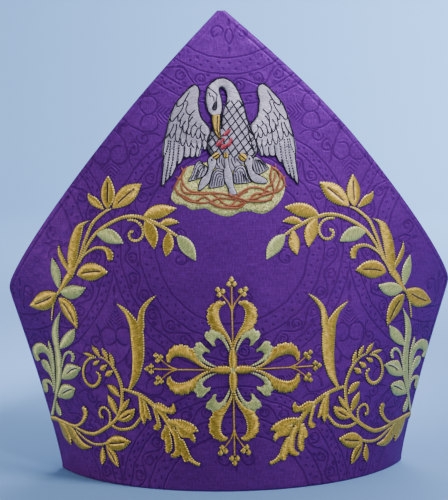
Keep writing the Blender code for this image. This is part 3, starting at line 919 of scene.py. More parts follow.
# lobes of the cut leaves at the foot, each by its two edges, from its root to its end: u, z and u, z
SCROLL_LOBES = (
    (
        (44, 45.8, 41, 42), (40, 46.2, 37.6, 40.4), (36, 46, 35, 38), (32.5, 45.3, 32.4, 36.4),
        (29.5, 44.2, 30, 35.8), (27, 42.8, 27.8, 36.4), (25, 41, 26.4, 37.6), (23.8, 39.4, 25, 38),
        (23.3, 38.2, 24, 37.6),
    ),
    (
        (39, 41.4, 33.5, 41.5), (37, 37.6, 30, 39.4), (35, 34.6, 27.4, 37.8), (31.5, 34.2, 25.8, 35.6),
        (29.6, 34, 25.2, 33.6), (28, 32.6, 25.6, 32), (26.8, 31.4, 26.2, 31.2),
    ),
    (
        (41.6, 40, 37, 39), (40.2, 35, 35.2, 34), (39.4, 30, 33.8, 29.6), (39.1, 26.4, 33.4, 25.6),
        (40.2, 24.4, 35.6, 22.6), (41.8, 23.4, 38.2, 21.2), (42.2, 22.6, 40.8, 21.2),
    ),
    (
        (37, 34, 33, 33), (36.4, 29, 31, 28.6), (35.6, 24.6, 29.4, 24.6), (34.2, 21.6, 29.4, 21.4),
        (33.2, 19.4, 30.2, 19.4), (32, 18.6, 31, 18.6),
    ),
    ((46.8, 39.6, 43, 38.6), (48, 36.8, 43.6, 35), (48.3, 34.4, 44.4, 32.6), (47.6, 32.6, 45.6, 31.8)),
    (
        (46, 42, 42, 41), (46.6, 37.5, 41.6, 36.5), (46, 33, 40.9, 32.5), (45.6, 29, 40.7, 29),
        (45.6, 26, 41, 26.4), (44.8, 24.4, 42.2, 24.4), (44, 24, 43.2, 24),
    ),
    (
        (54, 53, 50, 52.5), (52.6, 49, 49.4, 48.4), (51.4, 45, 48.6, 44.6), (51.2, 42.6, 48, 42.6),
        (53.2, 41.2, 48, 40.8), (53.4, 39.6, 48.8, 39.2), (52, 38.6, 50, 38.2),
    ),
    (
        (53, 55.4, 51, 50.5), (50, 56.2, 48.8, 49.5), (47, 55.6, 46.4, 48.8), (44.4, 54, 44.4, 49),
        (42.4, 53.2, 42.4, 49.2), (40.8, 54, 40.4, 48.8), (40.2, 55.6, 38.8, 49.4), (39.6, 56.2, 37.8, 51.4),
        (39, 55.8, 38, 53.4),
    ),
    (
        (60, 57.6, 57.8, 56), (60, 53, 56.2, 52.2), (60, 49, 55.2, 48.8), (58.6, 46.8, 54.6, 46.4),
        (56.6, 45.6, 54.5, 45.2), (55.4, 44.4, 54.8, 44.4),
    ),
    (
        (63.6, 60.5, 60, 60), (63.2, 56, 58.8, 56), (63, 52, 57.8, 52), (62.9, 48.5, 57.4, 48.6),
        (62, 45.6, 57.6, 45.8), (60.8, 43.2, 58.4, 43.4), (59.8, 41, 59.4, 41),
    ),
)
# the spiral tendril under the arch: middle, first and last radius, first direction, turn, widths
TENDRIL = dict(u=63.4, z=164.8, radius=9.3, end_radius=1.0, start=112.0, turn=-375.0, width=2.0, end_width=2.2)
# Each scroll as it was hooped: how far it sits off the chart sideways and up, its spread and its tilt.
SCROLL_SET = {
    -1: dict(shift=0.4, spread=1.001, rise=0.3, tilt=-0.003),
    1: dict(shift=-2.2, spread=1.0335, rise=0.8, tilt=-0.028),
}
EDGE_MARGIN, EDGE_EASE = 2.0, 3.0


def scroll_place(hand):
    """Turns a point of the chart to a place on the cloth, kept clear of the side seam."""
    hoop = SCROLL_SET[hand]

    def place(u, z):
        s = hoop["shift"] + hoop["spread"] * u
        up = z + hoop["rise"] + hoop["tilt"] * u
        limit = cloth_reach(up) - EDGE_MARGIN
        if s > limit - EDGE_EASE:
            s = limit - EDGE_EASE * math.exp(-(s - limit + EDGE_EASE) / EDGE_EASE)
        return (hand * s, up)

    return place


def tendril_line():
    steps = 48
    line = []
    for i in range(steps + 1):
        t = i / steps
        radius = TENDRIL["radius"] + (TENDRIL["end_radius"] - TENDRIL["radius"]) * t**0.9
        angle = math.radians(TENDRIL["start"] + TENDRIL["turn"] * t)
        width = TENDRIL["width"] + (TENDRIL["end_width"] - TENDRIL["width"]) * t
        line.append((TENDRIL["u"] - radius * math.cos(angle), TENDRIL["z"] + radius * math.sin(angle), width))
    return line


def shaped(work, rows, place, rise, reach=1.1, pitch=4.4, begin=0.35, slit=None):
    """A leaf drawn by its two edges. The first is scalloped by reach mm, each pitch mm, from its share begin on."""
    even = along_curve(rows, STITCH_PITCH / 2.0)
    rungs = []
    for i, (a, b, c, d) in enumerate(even):
        share = i / (len(even) - 1)
        bulge = reach * abs(math.sin(math.pi * i * STITCH_PITCH / 2.0 / pitch)) if begin < share < 0.96 else 0.0
        grow = bulge / max(1.0, math.hypot(a - c, b - d))
        rungs.append((place(a + (a - c) * grow, b + (b - d) * grow), place(c, d)))
    work.bar(rungs, rise, slit=slit)


for word, hand in (("left", -1), ("right", 1)):
    place = scroll_place(hand)
    work = {"gold": Needlework(), "green": Needlework()}
    for lobe in SCROLL_LOBES:
        shaped(work["gold"], lobe, place, rise=1.0, reach=0.3, pitch=2.4, begin=0.2)
    for vein, *edges in SCROLL_PLANT:
        shaped(work["green"], edges, place, rise=1.0, reach=0.0, slit=vein)
    work["gold"].line(tendril_line(), place, rise=0.6)
    for stem in SCROLL_STEMS:
        work["gold"].line(stem, place, rise=0.8)
    for thread, *leaf, vein in SCROLL_LEAVES:
        slit = {"slit": (0.2, 0.78), "rib": (0.25, 0.7), "": None}[vein]
        work[thread].line(leaf_line(*leaf), place, rise=1.05, slit=slit)
    work["gold"].finish("scroll_gold_" + word, gold_thread)
    work["green"].finish("scroll_green_" + word, green_thread)

# The flowered cross at the middle: four equal arms, each with a bound neck, two scalloped gold leaves, two
# green hooks and a fine stalk with three round buds, in the same threads.
CROSS_S, CROSS_Z = -1.0, 78.0
# how long the upper, right, lower and left arm came out, against the chart
CROSS_ARMS = (0.965, 0.955, 1.0, 0.94)
# the two edges of a gold leaf and of a green hook, from the neck outwards: outer x, y and inner x, y, in mm
CROSS_PETAL = (
    (1.1, 12.5, 0.3, 12.5), (2.6, 17.5, 0.5, 18), (4.6, 20.6, 2, 22), (8, 24.2, 4, 25.5), (11.8, 26.4, 6, 29),
    (13.8, 29.2, 7.3, 32), (15.4, 32.8, 8, 35), (15.6, 36.6, 8.2, 38), (15, 40, 7.6, 40.4), (13, 42.8, 6.4, 42),
    (9.6, 44.8, 5.2, 42.6), (6.8, 45.6, 4.4, 42.9), (4.9, 45.4, 3.9, 43.6),
)
CROSS_HOOK = (
    (1.6, 12, 2.8, 12), (2.4, 15.6, 4.3, 15.2), (4, 19, 6.2, 18.4), (5.8, 22, 8.2, 20.4), (8, 24.2, 9.8, 20.7),
    (10.5, 25.6, 10.9, 19.6), (12.6, 26.4, 11.5, 18.2), (14.6, 25.6, 11.2, 16.8), (16.6, 24.2, 10.7, 15.9),
    (17.6, 22.6, 10.8, 15.5), (17, 20.8, 11.4, 15.4), (15.4, 19.6, 12.2, 15.6), (14, 18, 12.9, 16),
)
# x across the arm, y along it, width, in mm, then the middles of the buds
CROSS_NECK = ((0, 1.2, 3.6), (0, 3.4, 5.4), (0, 7, 6), (0, 10.5, 5.2), (0, 13, 3.2), (0, 15.5, 1.4))
CROSS_STALK = ((0, 12, 1.1), (0, 30, 1), (0, 55, 1))
CROSS_SIDE_STALK = ((0, 38.3, 0.9), (1, 41.5, 1), (2.4, 44.4, 0.9), (6.6, 50, 0.9))
CROSS_BUDS = (
    (-1.8, 56.6), (1.8, 56.6), (0, 59.6), (5.6, 51.8), (8.9, 53), (7.9, 49.6), (-5.6, 51.8), (-8.9, 53),
    (-7.9, 49.6),
)
BUD_RADIUS, BOSS_RADIUS = 1.85, 2.2
STALK_STITCH = dict(rise=0.8, steps=4, serrate=0.12, edged=False)


def cross_place(quarter):
    turn = math.radians(90.0 * quarter)

    def place(x, y):
        y *= CROSS_ARMS[quarter]
        return (CROSS_S + x * math.cos(turn) + y * math.sin(turn), CROSS_Z - x * math.sin(turn) + y * math.cos(turn))

    return place


def bud_line(x, y, radius):
    turns = [math.pi * i / 8 for i in range(9)]
    return [(x, y - radius * math.cos(turn), max(0.4, 2.0 * radius * math.sin(turn))) for turn in turns]


gold_work, green_work = Needlework(), Needlework()
for quarter in range(4):
    place = cross_place(quarter)
    gold_work.line(CROSS_STALK, place, **STALK_STITCH)
    for side in (-1, 1):
        petal, hook = (
            [(side * a, b, side * c, d) for a, b, c, d in edges] for edges in (CROSS_PETAL, CROSS_HOOK)
        )
        gold_work.line([(side * x, y, w) for x, y, w in CROSS_SIDE_STALK], place, **STALK_STITCH)
        shaped(gold_work, petal, place, rise=1.2)
        shaped(green_work, hook, place, rise=1.1, begin=0.3)
    for x, y in CROSS_BUDS:
        gold_work.line(bud_line(x, y, BUD_RADIUS), place, rise=1.0)
    gold_work.line(CROSS_NECK, place, rise=2.2)
gold_work.finish("cross_gold", gold_thread)
green_work.line(bud_line(0.0, 0.0, BOSS_RADIUS), cross_place(0), rise=1.6)
green_work.finish("cross_green", green_thread)

# The nest: a mound of short sage stitches in many directions, so that it looks like moss, with a ring of
# plaited thorn twigs laid on its front edge in terracotta thread, each twig a round cord 1.5 mm thick.
BIRD_AXIS = -0.7
# x along the cloth, lower and upper edge of the moss, in mm
NEST = (
    (-38.4, 186.8, 189.5), (-36.8, 185.2, 193.5), (-35.2, 183.8, 197), (-32.5, 183.4, 201), (-30, 183, 204.4),
    (-27.5, 181.2, 207.2), (-25, 180, 208), (-20, 180.6, 209), (-16.5, 180.8, 210), (-12, 178.2, 211),
    (-8, 176.6, 211.4), (-4, 175.6, 211.5), (0, 175.8, 211.5), (3, 177.4, 211.5), (6, 178.2, 211.5),
    (10, 178.6, 211.2), (13, 178.3, 211), (16, 177.4, 211), (19, 176.8, 210), (22, 177.4, 208.8), (25, 179, 207.4),
    (28, 181.4, 205.4), (31, 184.6, 202.2), (33, 188, 199), (34.2, 192, 196),
)
# centre line of each twig, from the first laid to the last, each a little over the one before
TWIGS = (
    (
        (-29.5, 206), (-31.6, 201.4), (-30.4, 196.4), (-27, 192.6), (-22, 191), (-15, 190.8), (-10, 188.6),
        (-7, 185.6), (-4, 183.2), (0, 182.2), (4, 182.6), (7, 184.4),
    ),
    (
        (-34.6, 192.6), (-33.4, 190.2), (-30, 188.6), (-26, 186.4), (-22, 184.8), (-17, 184.4), (-12.4, 185.6),
        (-8, 187.2), (-3, 187), (2, 186.2), (6, 185.6), (9, 184.8),
    ),
    (
        (-33.6, 190.4), (-30, 187.4), (-26, 185.2), (-22.6, 185.4), (-20, 187), (-17.4, 188.2), (-15, 187),
        (-12.4, 184.8), (-9, 182.6), (-6, 181.6), (-2.4, 181.4), (0.6, 183.4), (3.2, 186.2), (5.6, 188.8),
        (8, 190.6), (10.6, 191.4),
    ),
    (
        (-32, 197.6), (-30.6, 191.6), (-24, 190.2), (-18, 190), (-13, 190.4), (-8, 190.4), (-3, 189.4), (0, 188),
        (4, 186), (8.4, 184.6),
    ),
    ((-29.4, 205.6), (-33, 199.7), (-35.4, 195.6), (-35, 192), (-31.6, 189)),
    (
        (-14, 185), (-10, 182.6), (-5, 181.2), (0, 180.9), (3.4, 180.8), (6, 181.8), (8.6, 184), (12, 187),
        (15, 189.6), (19, 189.8), (24, 189.6), (28, 190.4),
    ),
    (
        (1.6, 186.6), (5, 190), (8, 191.8), (11, 193.4), (15, 193.8), (19, 193), (22, 191.6), (26, 190.4),
        (30, 191), (33, 193.6), (33.8, 196.4), (33, 199.4), (31, 202.4), (28.6, 204.8), (26.2, 206),
    ),
    (
        (26, 205.4), (25.2, 201), (25.6, 197), (26.8, 193.6), (27, 190), (26, 187.6), (24, 185.8), (20, 184.9),
        (15, 184.8), (10, 185.2), (6, 186.6), (2, 188), (-2, 189.8),
    ),
    (
        (30.2, 203.4), (31.2, 199), (30.2, 195.6), (29, 193), (27, 190.8), (23, 189.4), (19.4, 188.4), (16, 186.8),
        (12, 186.2),
    ),
    ((19.4, 188), (21, 191.2), (22.8, 193.8), (25.4, 195.4), (27.6, 198.6), (28.4, 203)),
)
# foot and point of each thorn, then its width from foot to point
THORNS = (
    ((-30.4, 204.4), (-31.9, 207.4)), ((-29.4, 205.2), (-28, 208)), ((-33, 199.8), (-35.6, 201.4)),
    ((-35.2, 195.4), (-37.6, 193.4)), ((-33, 190.2), (-35.4, 188.6)), ((-24.8, 190), (-26, 192.6)),
    ((-12, 190.4), (-11, 192.6)), ((-19.2, 184.4), (-20.6, 182.6)), ((-7.1, 184.8), (-8.4, 183)),
    ((15, 193.8), (14.8, 196)), ((28.4, 204.8), (28.8, 208.6)), ((26.4, 205.6), (25.2, 208.2)),
    ((33.2, 199.2), (35.4, 200.6)), ((33.6, 195), (36, 193.8)), ((25.4, 186.8), (25.8, 184.4)),
)
THORN_WIDTHS = ((0.0, 1.4), (0.5, 0.9), (1.0, 0.2))
TWIG_WIDTH, TWIG_BASE, TWIG_LAY = 1.55, 0.25, 0.09
# how thread is worked that lies close, with no teeth and no beads at its edge
CLOSE = dict(serrate=0.0, edged=False)


def seed_stitches(name, light, mid, dark):
    """Short stitches worked in all directions, each 0.7 mm or so and of its own shade, which looks like moss."""
    made, shader, node = new_material(name)
    place = node("TexCoord", out="Object")
    cells = node("TexVoronoi", {"Vector": place, "Scale": 1500.0}, out="Color")
    shade = node("SeparateXYZ", (cells,))
    fine = node("TexNoise", {"Vector": place, "Scale": 1200.0, "Detail": 2.0})
    tone = node("Math", (shade, 0.7, node("Math", (fine, 0.3), operation="MULTIPLY")), operation="MULTIPLY_ADD")
    colour = node("ValToRGB", (tone,))
    set_tones(colour, 0.2, dark, mid, light)
    feed(shader, {
        "Base Color": colour,
        "Roughness": 0.45,
        "Normal": node("Bump", {"Height": tone, "Strength": 0.9, "Distance": 0.6 * MM}),
    })
    return made


moss_thread = seed_stitches("sage_seed_stitch", "#e0e08c", "#b8ba60", "#767a38")
thorn_thread = embroidery_thread("terracotta_rayon_thread", "#ac683a", "#824422", "#381606", "#d09468")


def same(x, z):
    return (x, z)


def mirrored(x, z):
    return (2.0 * BIRD_AXIS - x, z)


def filled(work, rows, place, rise, floor, pitch=1.0):
    """A patch of stitches between two edges. rows are (x, z) on one edge, then (x, z) on the other."""
    rungs = [(place(a, b), place(c, d)) for a, b, c, d in along_curve(rows, pitch)]
    work.bar(rungs, rise, floor=floor, **CLOSE)


def straight(x0, z0, x1, z1, widths):
    """A centre line from one point to another. widths pairs shares of the way with widths."""
    return [(x0 + (x1 - x0) * t, z0 + (z1 - z0) * t, width) for t, width in widths]


moss_work, twig_work = Needlework(), Needlework()
filled(moss_work, [(x, low, x, high) for x, low, high in NEST], same, rise=0.35, floor=0.0)
for i, twig in enumerate(TWIGS):
    line = [(x, z, TWIG_WIDTH) for x, z in twig]
    twig_work.line(line, same, rise=1.0, floor=TWIG_BASE + TWIG_LAY * i, steps=6, **CLOSE)
for foot, point in THORNS:
    twig_work.line(straight(*foot, *point, THORN_WIDTHS), same, rise=0.8, floor=0.2, steps=4, **CLOSE)
moss_work.finish("nest_moss", moss_thread)
twig_work.finish("nest_thorns", thorn_thread)

# The bird over her nest, the old sign of the pelican that feeds her young: silver-grey thread, each feather
# and the net over her breast drawn on it in black, a gold beak and drops of blood in crimson.
# Rows of the left wing, down from its top: outer edge x, z and inner edge x, z.
WING = (
    (-21.9, 259, -21, 259), (-25, 257.3, -19.8, 257.3), (-28.6, 254.1, -19.4, 254.1), (-31.9, 251, -19.8, 251),
    (-33.9, 248.6, -20.1, 248.6), (-35.9, 245.1, -19.8, 245.1), (-38, 240.8, -18.8, 240.8),
    (-39.5, 236.8, -17, 236.8), (-40.5, 232.1, -13.6, 232.1), (-41, 229.7, -12.7, 229.7),
    (-42, 225.7, -13.7, 225.7), (-42.8, 221, -14.8, 221), (-43, 219, -15.4, 219),
)
# the ends of the long feathers: x, z at the root and at the point, and width
WING_ENDS = (
    (-41, 226, -43, 213.6, 2.6), (-39.9, 222, -43.9, 195.2, 3.3), (-37.3, 222, -41, 198.2, 2.7),
    (-34.4, 222, -38.4, 200.8, 3.6), (-31, 222, -33.2, 209, 4), (-27.2, 222, -28.2, 213, 4.2),
    (-23.5, 222, -24.7, 213, 4), (-20, 222, -21.5, 213.2, 3.6), (-16.2, 224, -16.4, 217.8, 3.6),
)
FEATHER_TAPER = ((0, 1), (0.3, 1), (0.7, 0.95), (0.88, 0.7), (0.97, 0.4), (1, 0.1))
# black lines on the left wing: its outline and its feathers, then the dashed quills of the long feathers
WING_LINES = (
    (
        (-21.3, 259.1), (-23, 259.4), (-24.6, 258.6), (-26.3, 257.1), (-27.9, 255.3), (-29.5, 253.5),
        (-31.1, 251.6), (-32.5, 250.1), (-33.5, 249), (-33.8, 247.5), (-33.5, 246.1), (-32.8, 245.7),
        (-31.5, 246.3), (-30, 247.4), (-28.8, 249.1), (-27.6, 251.2), (-26.3, 253.4), (-25.4, 255.1),
    ),
    (
        (-33.7, 248), (-34.7, 247.5), (-35.5, 245.9), (-36.4, 243.9), (-37.1, 242.1), (-37.7, 240.4),
        (-38.2, 238.8), (-38.1, 237.4), (-37.2, 236.3), (-36.1, 236.8), (-34.9, 238.4), (-33.2, 240.1),
        (-31.9, 241.9), (-30.6, 243.7), (-29.7, 245.6), (-29.1, 247.4),
    ),
    (
        (-38.3, 238.6), (-39, 236.7), (-39.6, 234.6), (-40.1, 232.2), (-40.8, 229.9), (-41.4, 227.8),
        (-41.9, 225.6), (-42.2, 223), (-42.5, 220.4), (-42.9, 217.7), (-43.1, 215.3), (-42.8, 213.9),
    ),
    (
        (-42.7, 213.7), (-42.9, 211.1), (-43.2, 208.5), (-43.5, 205.8), (-43.8, 203.2), (-44.2, 200.5),
        (-44.4, 197.9), (-44.5, 196), (-44, 195.2), (-43.1, 196.1), (-42.2, 198),
    ),
    ((-42.2, 198), (-41.2, 198.5), (-40.2, 199.7), (-39.5, 201.3)),
    ((-39.5, 201), (-38.4, 201.2), (-37.4, 202.3), (-36.3, 204.4), (-35.4, 206.5), (-34.5, 208.6), (-33.9, 210.2)),
    (
        (-34.5, 208.8), (-33.6, 209.3), (-32.6, 209.4), (-31.7, 210.6), (-30.7, 212.6), (-29.9, 214.3),
        (-29.6, 216.3), (-29.3, 218.9), (-29.2, 220.7),
    ),
    ((-29.9, 214.1), (-28.9, 213.3), (-28, 213.2), (-26.8, 213.6), (-26, 214.6), (-25.6, 216.7), (-25.4, 219.4)),
    (
        (-25.9, 214.4), (-25.2, 213.3), (-24.4, 213.2), (-23.5, 213.8), (-22.5, 215.1), (-22, 217.2),
        (-21.6, 219.3), (-21.4, 221.2),
    ),
    (
        (-22.3, 215.1), (-21.8, 213.5), (-21.1, 213.5), (-20.3, 215.3), (-19.7, 217.4), (-19.1, 218.8),
        (-18.4, 220.6), (-18, 222.2),
    ),
    ((-18, 221.4), (-17.3, 219.3), (-16.4, 217.7), (-15.7, 218.7), (-14.9, 220.8), (-14.6, 222.9), (-14.4, 224.8)),
    (
        (-21.3, 259.1), (-20.3, 258.5), (-19.5, 257), (-19.1, 254.9), (-19.3, 252.5), (-19.9, 250.4),
        (-20.2, 248.6), (-19.8, 246.7), (-19.6, 244.6), (-19.5, 242.5), (-19, 240.4), (-18.1, 238.3),
        (-16.6, 236.4), (-15, 234.5), (-13.7, 232.7), (-12.8, 230.8), (-12.6, 229.2), (-13, 227.6), (-13.6, 225.8),
        (-14.1, 224), (-14.4, 222.9),
    ),
    (
        (-28.8, 249.2), (-27.5, 249.2), (-26.7, 248.2), (-27.1, 246.6), (-27.8, 244.7), (-28, 243.2),
        (-27.3, 241.6), (-26.2, 240.6), (-25.1, 240.5), (-23.9, 241.8), (-22.3, 243.1),
    ),
    ((-25.1, 240.5), (-25.9, 238.8), (-26.4, 237.3), (-26.4, 235.8), (-26.4, 233.9), (-26.6, 232.3)),
    ((-23.5, 238.9), (-24.6, 238.2), (-25.4, 236.9), (-26.1, 235.8)),
    (
        (-33, 240.1), (-33.2, 238.2), (-33.1, 236.6), (-32.6, 236.1), (-32, 236.8), (-31.5, 237.9), (-30.6, 239.1),
        (-29.8, 240.4), (-29.2, 241.6),
    ),
    (
        (-31.5, 237.7), (-31.7, 235.6), (-32.2, 233.5), (-31.8, 232.4), (-30.8, 232.5), (-30.3, 233.7),
        (-29.7, 234.7), (-28.7, 235.8), (-28.3, 236.7),
    ),
    ((-35.8, 234.8), (-36.5, 233), (-37.2, 231.1), (-38.3, 229.3), (-39.3, 228), (-40.6, 226.4), (-41.5, 225.4)),
    (
        (-34, 234.8), (-34.2, 232.7), (-34.6, 230.6), (-35.1, 228.5), (-35.1, 226.6), (-34.9, 224.6),
        (-34.1, 223.3), (-33, 223.6), (-32.3, 225.3), (-31.9, 227.1), (-31.4, 229), (-30.8, 230.5), (-30.6, 232.4),
    ),
    ((-38.5, 229), (-38.4, 226.7), (-37.8, 225.5), (-36.9, 225.9), (-36.3, 227.3), (-35.7, 229)),
    (
        (-31.6, 225.5), (-31.6, 223.1), (-31.2, 221.3), (-30.5, 220.6), (-29.6, 221.5), (-28.9, 223.1),
        (-28.3, 225), (-28, 227.1), (-28.1, 228.9),
    ),
    ((-29.9, 233.2), (-30, 231.3), (-29.7, 229.5), (-28.9, 228.8), (-28.1, 229.7), (-27.4, 231.3), (-26.5, 232.6)),
    ((-27.6, 230.8), (-27.5, 228.9), (-26.5, 227.6), (-25.7, 228.2), (-25, 229.9)),
    (
        (-21.3, 236), (-22.3, 234.6), (-22.7, 234), (-23.8, 233.3), (-24.5, 232.2), (-24.9, 230.7), (-25.1, 229.1),
        (-24.9, 227.8), (-24.5, 226.2), (-23.8, 226), (-23, 227), (-22.5, 228.3),
    ),
    ((-22.7, 234), (-21.9, 233.3), (-21.1, 232.5)),
    (
        (-19.8, 232.3), (-20.9, 231.2), (-21.7, 229.8), (-22.1, 228.3), (-21.8, 227), (-21.1, 225.1),
        (-20.2, 225.2), (-19.4, 226.4), (-19.1, 228.3),
    ),
    ((-18.1, 233.9), (-19, 232.5), (-19.1, 230.9), (-18.5, 229.6), (-17.5, 228.5), (-16.3, 227.5), (-15.1, 227.6)),
    ((-19.2, 228.8), (-18.7, 226.4), (-18.2, 224.6), (-17.5, 223.7), (-16.8, 224.8), (-16.6, 226.6), (-17, 228.2)),
    ((-27.8, 224.2), (-27.6, 221.8), (-26.7, 220.2), (-25.8, 221.1), (-25.1, 222.8), (-24.9, 224.6)),
    ((-24.9, 222.5), (-24.2, 220.5), (-23.2, 219.5)), ((-21.6, 224.1), (-21.3, 222), (-21, 220.2), (-20.1, 218.6)),
    ((-18.2, 224.6), (-18.1, 223), (-18.4, 221.4)),
    ((-16.2, 224.5), (-15.7, 223.6), (-14.7, 222.7), (-13.9, 223.3), (-13.4, 225.3), (-13.3, 226.9)),
)
QUILLS = (
    ((-42.8, 213.9), (-41.3, 216.4), (-40.6, 218.2), (-39.8, 220.6), (-39.5, 223), (-39.3, 224.8)),
    (
        (-42.2, 198), (-41.8, 200.2), (-41.3, 202.9), (-40.6, 206), (-40, 209.5), (-39.4, 212.7), (-38.8, 215.8),
        (-38.5, 219), (-38.1, 222.7), (-37.9, 225.2),
    ),
    (
        (-39.5, 201.3), (-39, 203.4), (-38.4, 206), (-37.7, 208.7), (-37, 211.3), (-36.4, 214.7), (-36.1, 218.2),
        (-35.9, 221.6), (-35.7, 224.8),
    ),
    ((-33.9, 210.2), (-33.6, 213.7), (-33.4, 216.3), (-33.1, 218.9), (-32.7, 221.6), (-32.6, 223.2)),
)
# the quills are walked in steps of 0.1 mm: a dash each 17 steps, 11 long
QUILL_STEP, DASH_EVERY, DASH_STEPS = 0.1, 17, 11
# head, neck and crown, from under the cheek up and over and down to the breast: outer edge, inner edge
NECK = (
    (-11.8, 240, -6.4, 240.2), (-13.7, 242.4, -5.3, 242), (-14.8, 246.4, -4.8, 246), (-15.1, 250.4, -5.2, 249.8),
    (-14.9, 253.6, -5.9, 253), (-14.2, 256.3, -6.6, 255.8), (-12.6, 259.1, -6.5, 257), (-9.8, 261.4, -5.9, 257.6),
    (-5.7, 263, -5, 257.8), (-1.8, 262.5, -4, 257.4), (2.2, 259.7, -2.7, 255.8), (4.9, 255.3, -1.8, 252.6),
    (7.5, 249, -2, 249), (9.2, 244, -3, 245),
)
# rows of the breast, down from the neck: z, left edge, right edge
BREAST = (
    (249, -2.2, 8), (244, -4.2, 9.2), (239, -5, 10.3), (234, -5.6, 11.9), (231.6, -8.6, 12.8), (229.6, -11.6, 13.5),
    (227, -13.6, 14.4), (222, -14.6, 16), (217, -13.8, 17), (213, -10.5, 14.5),
)
# the net over it: its cell across, a place where two threads cross, and how far each thread runs aside for 1 mm up
NET_CELL, NET_X, NET_Z, NET_SLOPES = 5.2, 2.5, 246.0, (-0.6, 0.95)
# threads to each side of that place, the steps in which each is followed down, its distance from the breast's
# edge, and the steps that it needs at least
NET_THREADS, NET_STEP, NET_STEPS, NET_MARGIN, NET_SHORTEST = 11, 0.5, 73, 0.5, 5
# the beak lies over the net's corner to the left of this x and above this z
NET_CORNER_X, NET_CORNER_Z = -4.5, 232.0
# how wide the black lines are: outlines and feathers, the quills' dashes and the net, and the beaks' lines
LINE_WIDTH, FINE_WIDTH, BEAK_LINE_WIDTH = 0.7, 0.75, 0.8
# black lines of the head, neck, breast and crest
BODY_LINES = (
    (
        (-13.8, 242.4), (-15, 246.4), (-15.4, 250.4), (-14.5, 256.4), (-12.8, 259.4), (-9.9, 261.7), (-5.7, 263.3),
        (-1.6, 262.8), (2.4, 259.9), (5.2, 255.4), (7.8, 249.1), (9.4, 244), (10.5, 239), (12.1, 234), (13.5, 230),
        (14.7, 227), (16.3, 222), (17.3, 217), (14.6, 212.8),
    ),
    ((-5, 257.8), (-6.6, 256.6), (-5.9, 253), (-5.1, 249.8), (-4.7, 245.9), (-5.3, 241.6), (-6.4, 239.6)),
    ((-5, 257.8), (-2.9, 255.8), (-1.8, 252.2), (-2, 249), (-3.2, 245.4), (-4.6, 241), (-5.2, 236), (-5.5, 231)),
    ((-13.8, 242.4), (-12.4, 240.2), (-11.2, 239.4)),
    ((-9.2, 231.4), (-11.4, 230.2), (-13.8, 227), (-14.9, 222), (-14.1, 217), (-11.6, 213.6)),
    ((-13.6, 258), (-12.6, 256.9), (-11.2, 255.7), (-9.6, 254.4), (-8.2, 253), (-8.4, 251), (-8.9, 248.6)),
    ((-13.2, 254.6), (-12.7, 252.6), (-12, 251.6)), ((-11.3, 252.4), (-10.3, 251.2), (-10, 248.8)),
)
# the eye and the beak, each down its middle: x, z, width, then the black lines along the beak
EYE = ((-8.8, 249.4, 0.5), (-8.9, 247.8, 2), (-9.5, 245.6, 3), (-9.9, 243.8, 3), (-10.1, 242.8, 0.6))
BEAK = (
    (-8.7, 240, 4.6), (-8.8, 236.5, 5), (-8.7, 233, 4.4), (-8.5, 229.6, 3.5), (-7.6, 226.4, 2.3),
    (-6.5, 224.5, 0.4),
)
BEAK_LINES = (
    ((-7.9, 239.5), (-8.1, 236), (-8.4, 232.4), (-8.1, 229.6), (-7.3, 227.2)),
    ((-6.1, 239.5), (-6.2, 235.9), (-6.6, 232), (-6.5, 228.8), (-6, 226)),
    ((-11.6, 239.6), (-11.4, 235.2), (-10.7, 231.3), (-9.4, 228.1), (-7.5, 225.8), (-6.3, 224.7)),
)
# each drop of blood: x, z at its two ends, and width
DROPS = (
    (-4.6, 226.6, 0.2, 230.8, 2.8), (-9.4, 220.2, -5.6, 223.2, 3), (-6.4, 218.6, -2.6, 221, 3.2),
    (-2.8, 220.4, 0.6, 222, 2.6), (-0.8, 222, 1, 225.4, 2.4), (-6.2, 223.2, -3.4, 225.4, 2.2),
)
DROP_SHARES = (0.0, 0.12, 0.3, 0.5, 0.7, 0.88, 1.0)
# how high each layer starts above the cloth, in mm, so that it lies on the one below it
WING_BASE, BREAST_BASE, NECK_BASE, BEAK_BASE, EYE_BASE, DROP_BASE = 0.15, 0.3, 0.35, 0.8, 1.1, 1.0
WING_LINE_BASE, QUILL_BASE, BODY_LINE_BASE, NET_BASE, BEAK_LINE_BASE = 0.62, 0.6, 0.95, 0.85, 1.5
FEATHER_LAY = 0.03

silver_thread = embroidery_thread("silver_rayon_thread", "#bcb7bb", "#908b93", "#524c56", "#d2ced0")
black_thread = embroidery_thread("black_rayon_thread", "#201e26", "#121016", "#07060a", "#403c48", metal=0.7)
red_thread = embroidery_thread("crimson_rayon_thread", "#a41c32", "#7c1024", "#440612", "#cc5c6c")
ochre_thread = embroidery_thread("ochre_rayon_thread", "#dcbc48", "#a88a28", "#423608", "#f0dc88", metal=0.3)
silver_work, black_work, beak_work, blood_work = Needlework(), Needlework(), Needlework(), Needlework()


def stroke(points, place, floor, width):
    black_work.line([(x, z, width) for x, z in points], place, rise=0.3, floor=floor, steps=4, **CLOSE)


for place in (same, mirrored):
    for i, (*ends, width) in enumerate(WING_ENDS):
        feather = straight(*ends, [(t, width * part) for t, part in FEATHER_TAPER])
        silver_work.line(feather, place, rise=0.4, floor=FEATHER_LAY * i, **CLOSE)
    filled(silver_work, WING, place, rise=0.35, floor=WING_BASE)
    for points in WING_LINES:
        stroke(points, place, WING_LINE_BASE, LINE_WIDTH)
    for points in QUILLS:
        quill = along_curve(points, QUILL_STEP)
        for first in range(0, len(quill) - DASH_STEPS + 1, DASH_EVERY):
            dash = quill[first : first + DASH_STEPS + 1]
            stroke([dash[0], dash[len(dash) // 2], dash[-1]], place, QUILL_BASE, FINE_WIDTH)

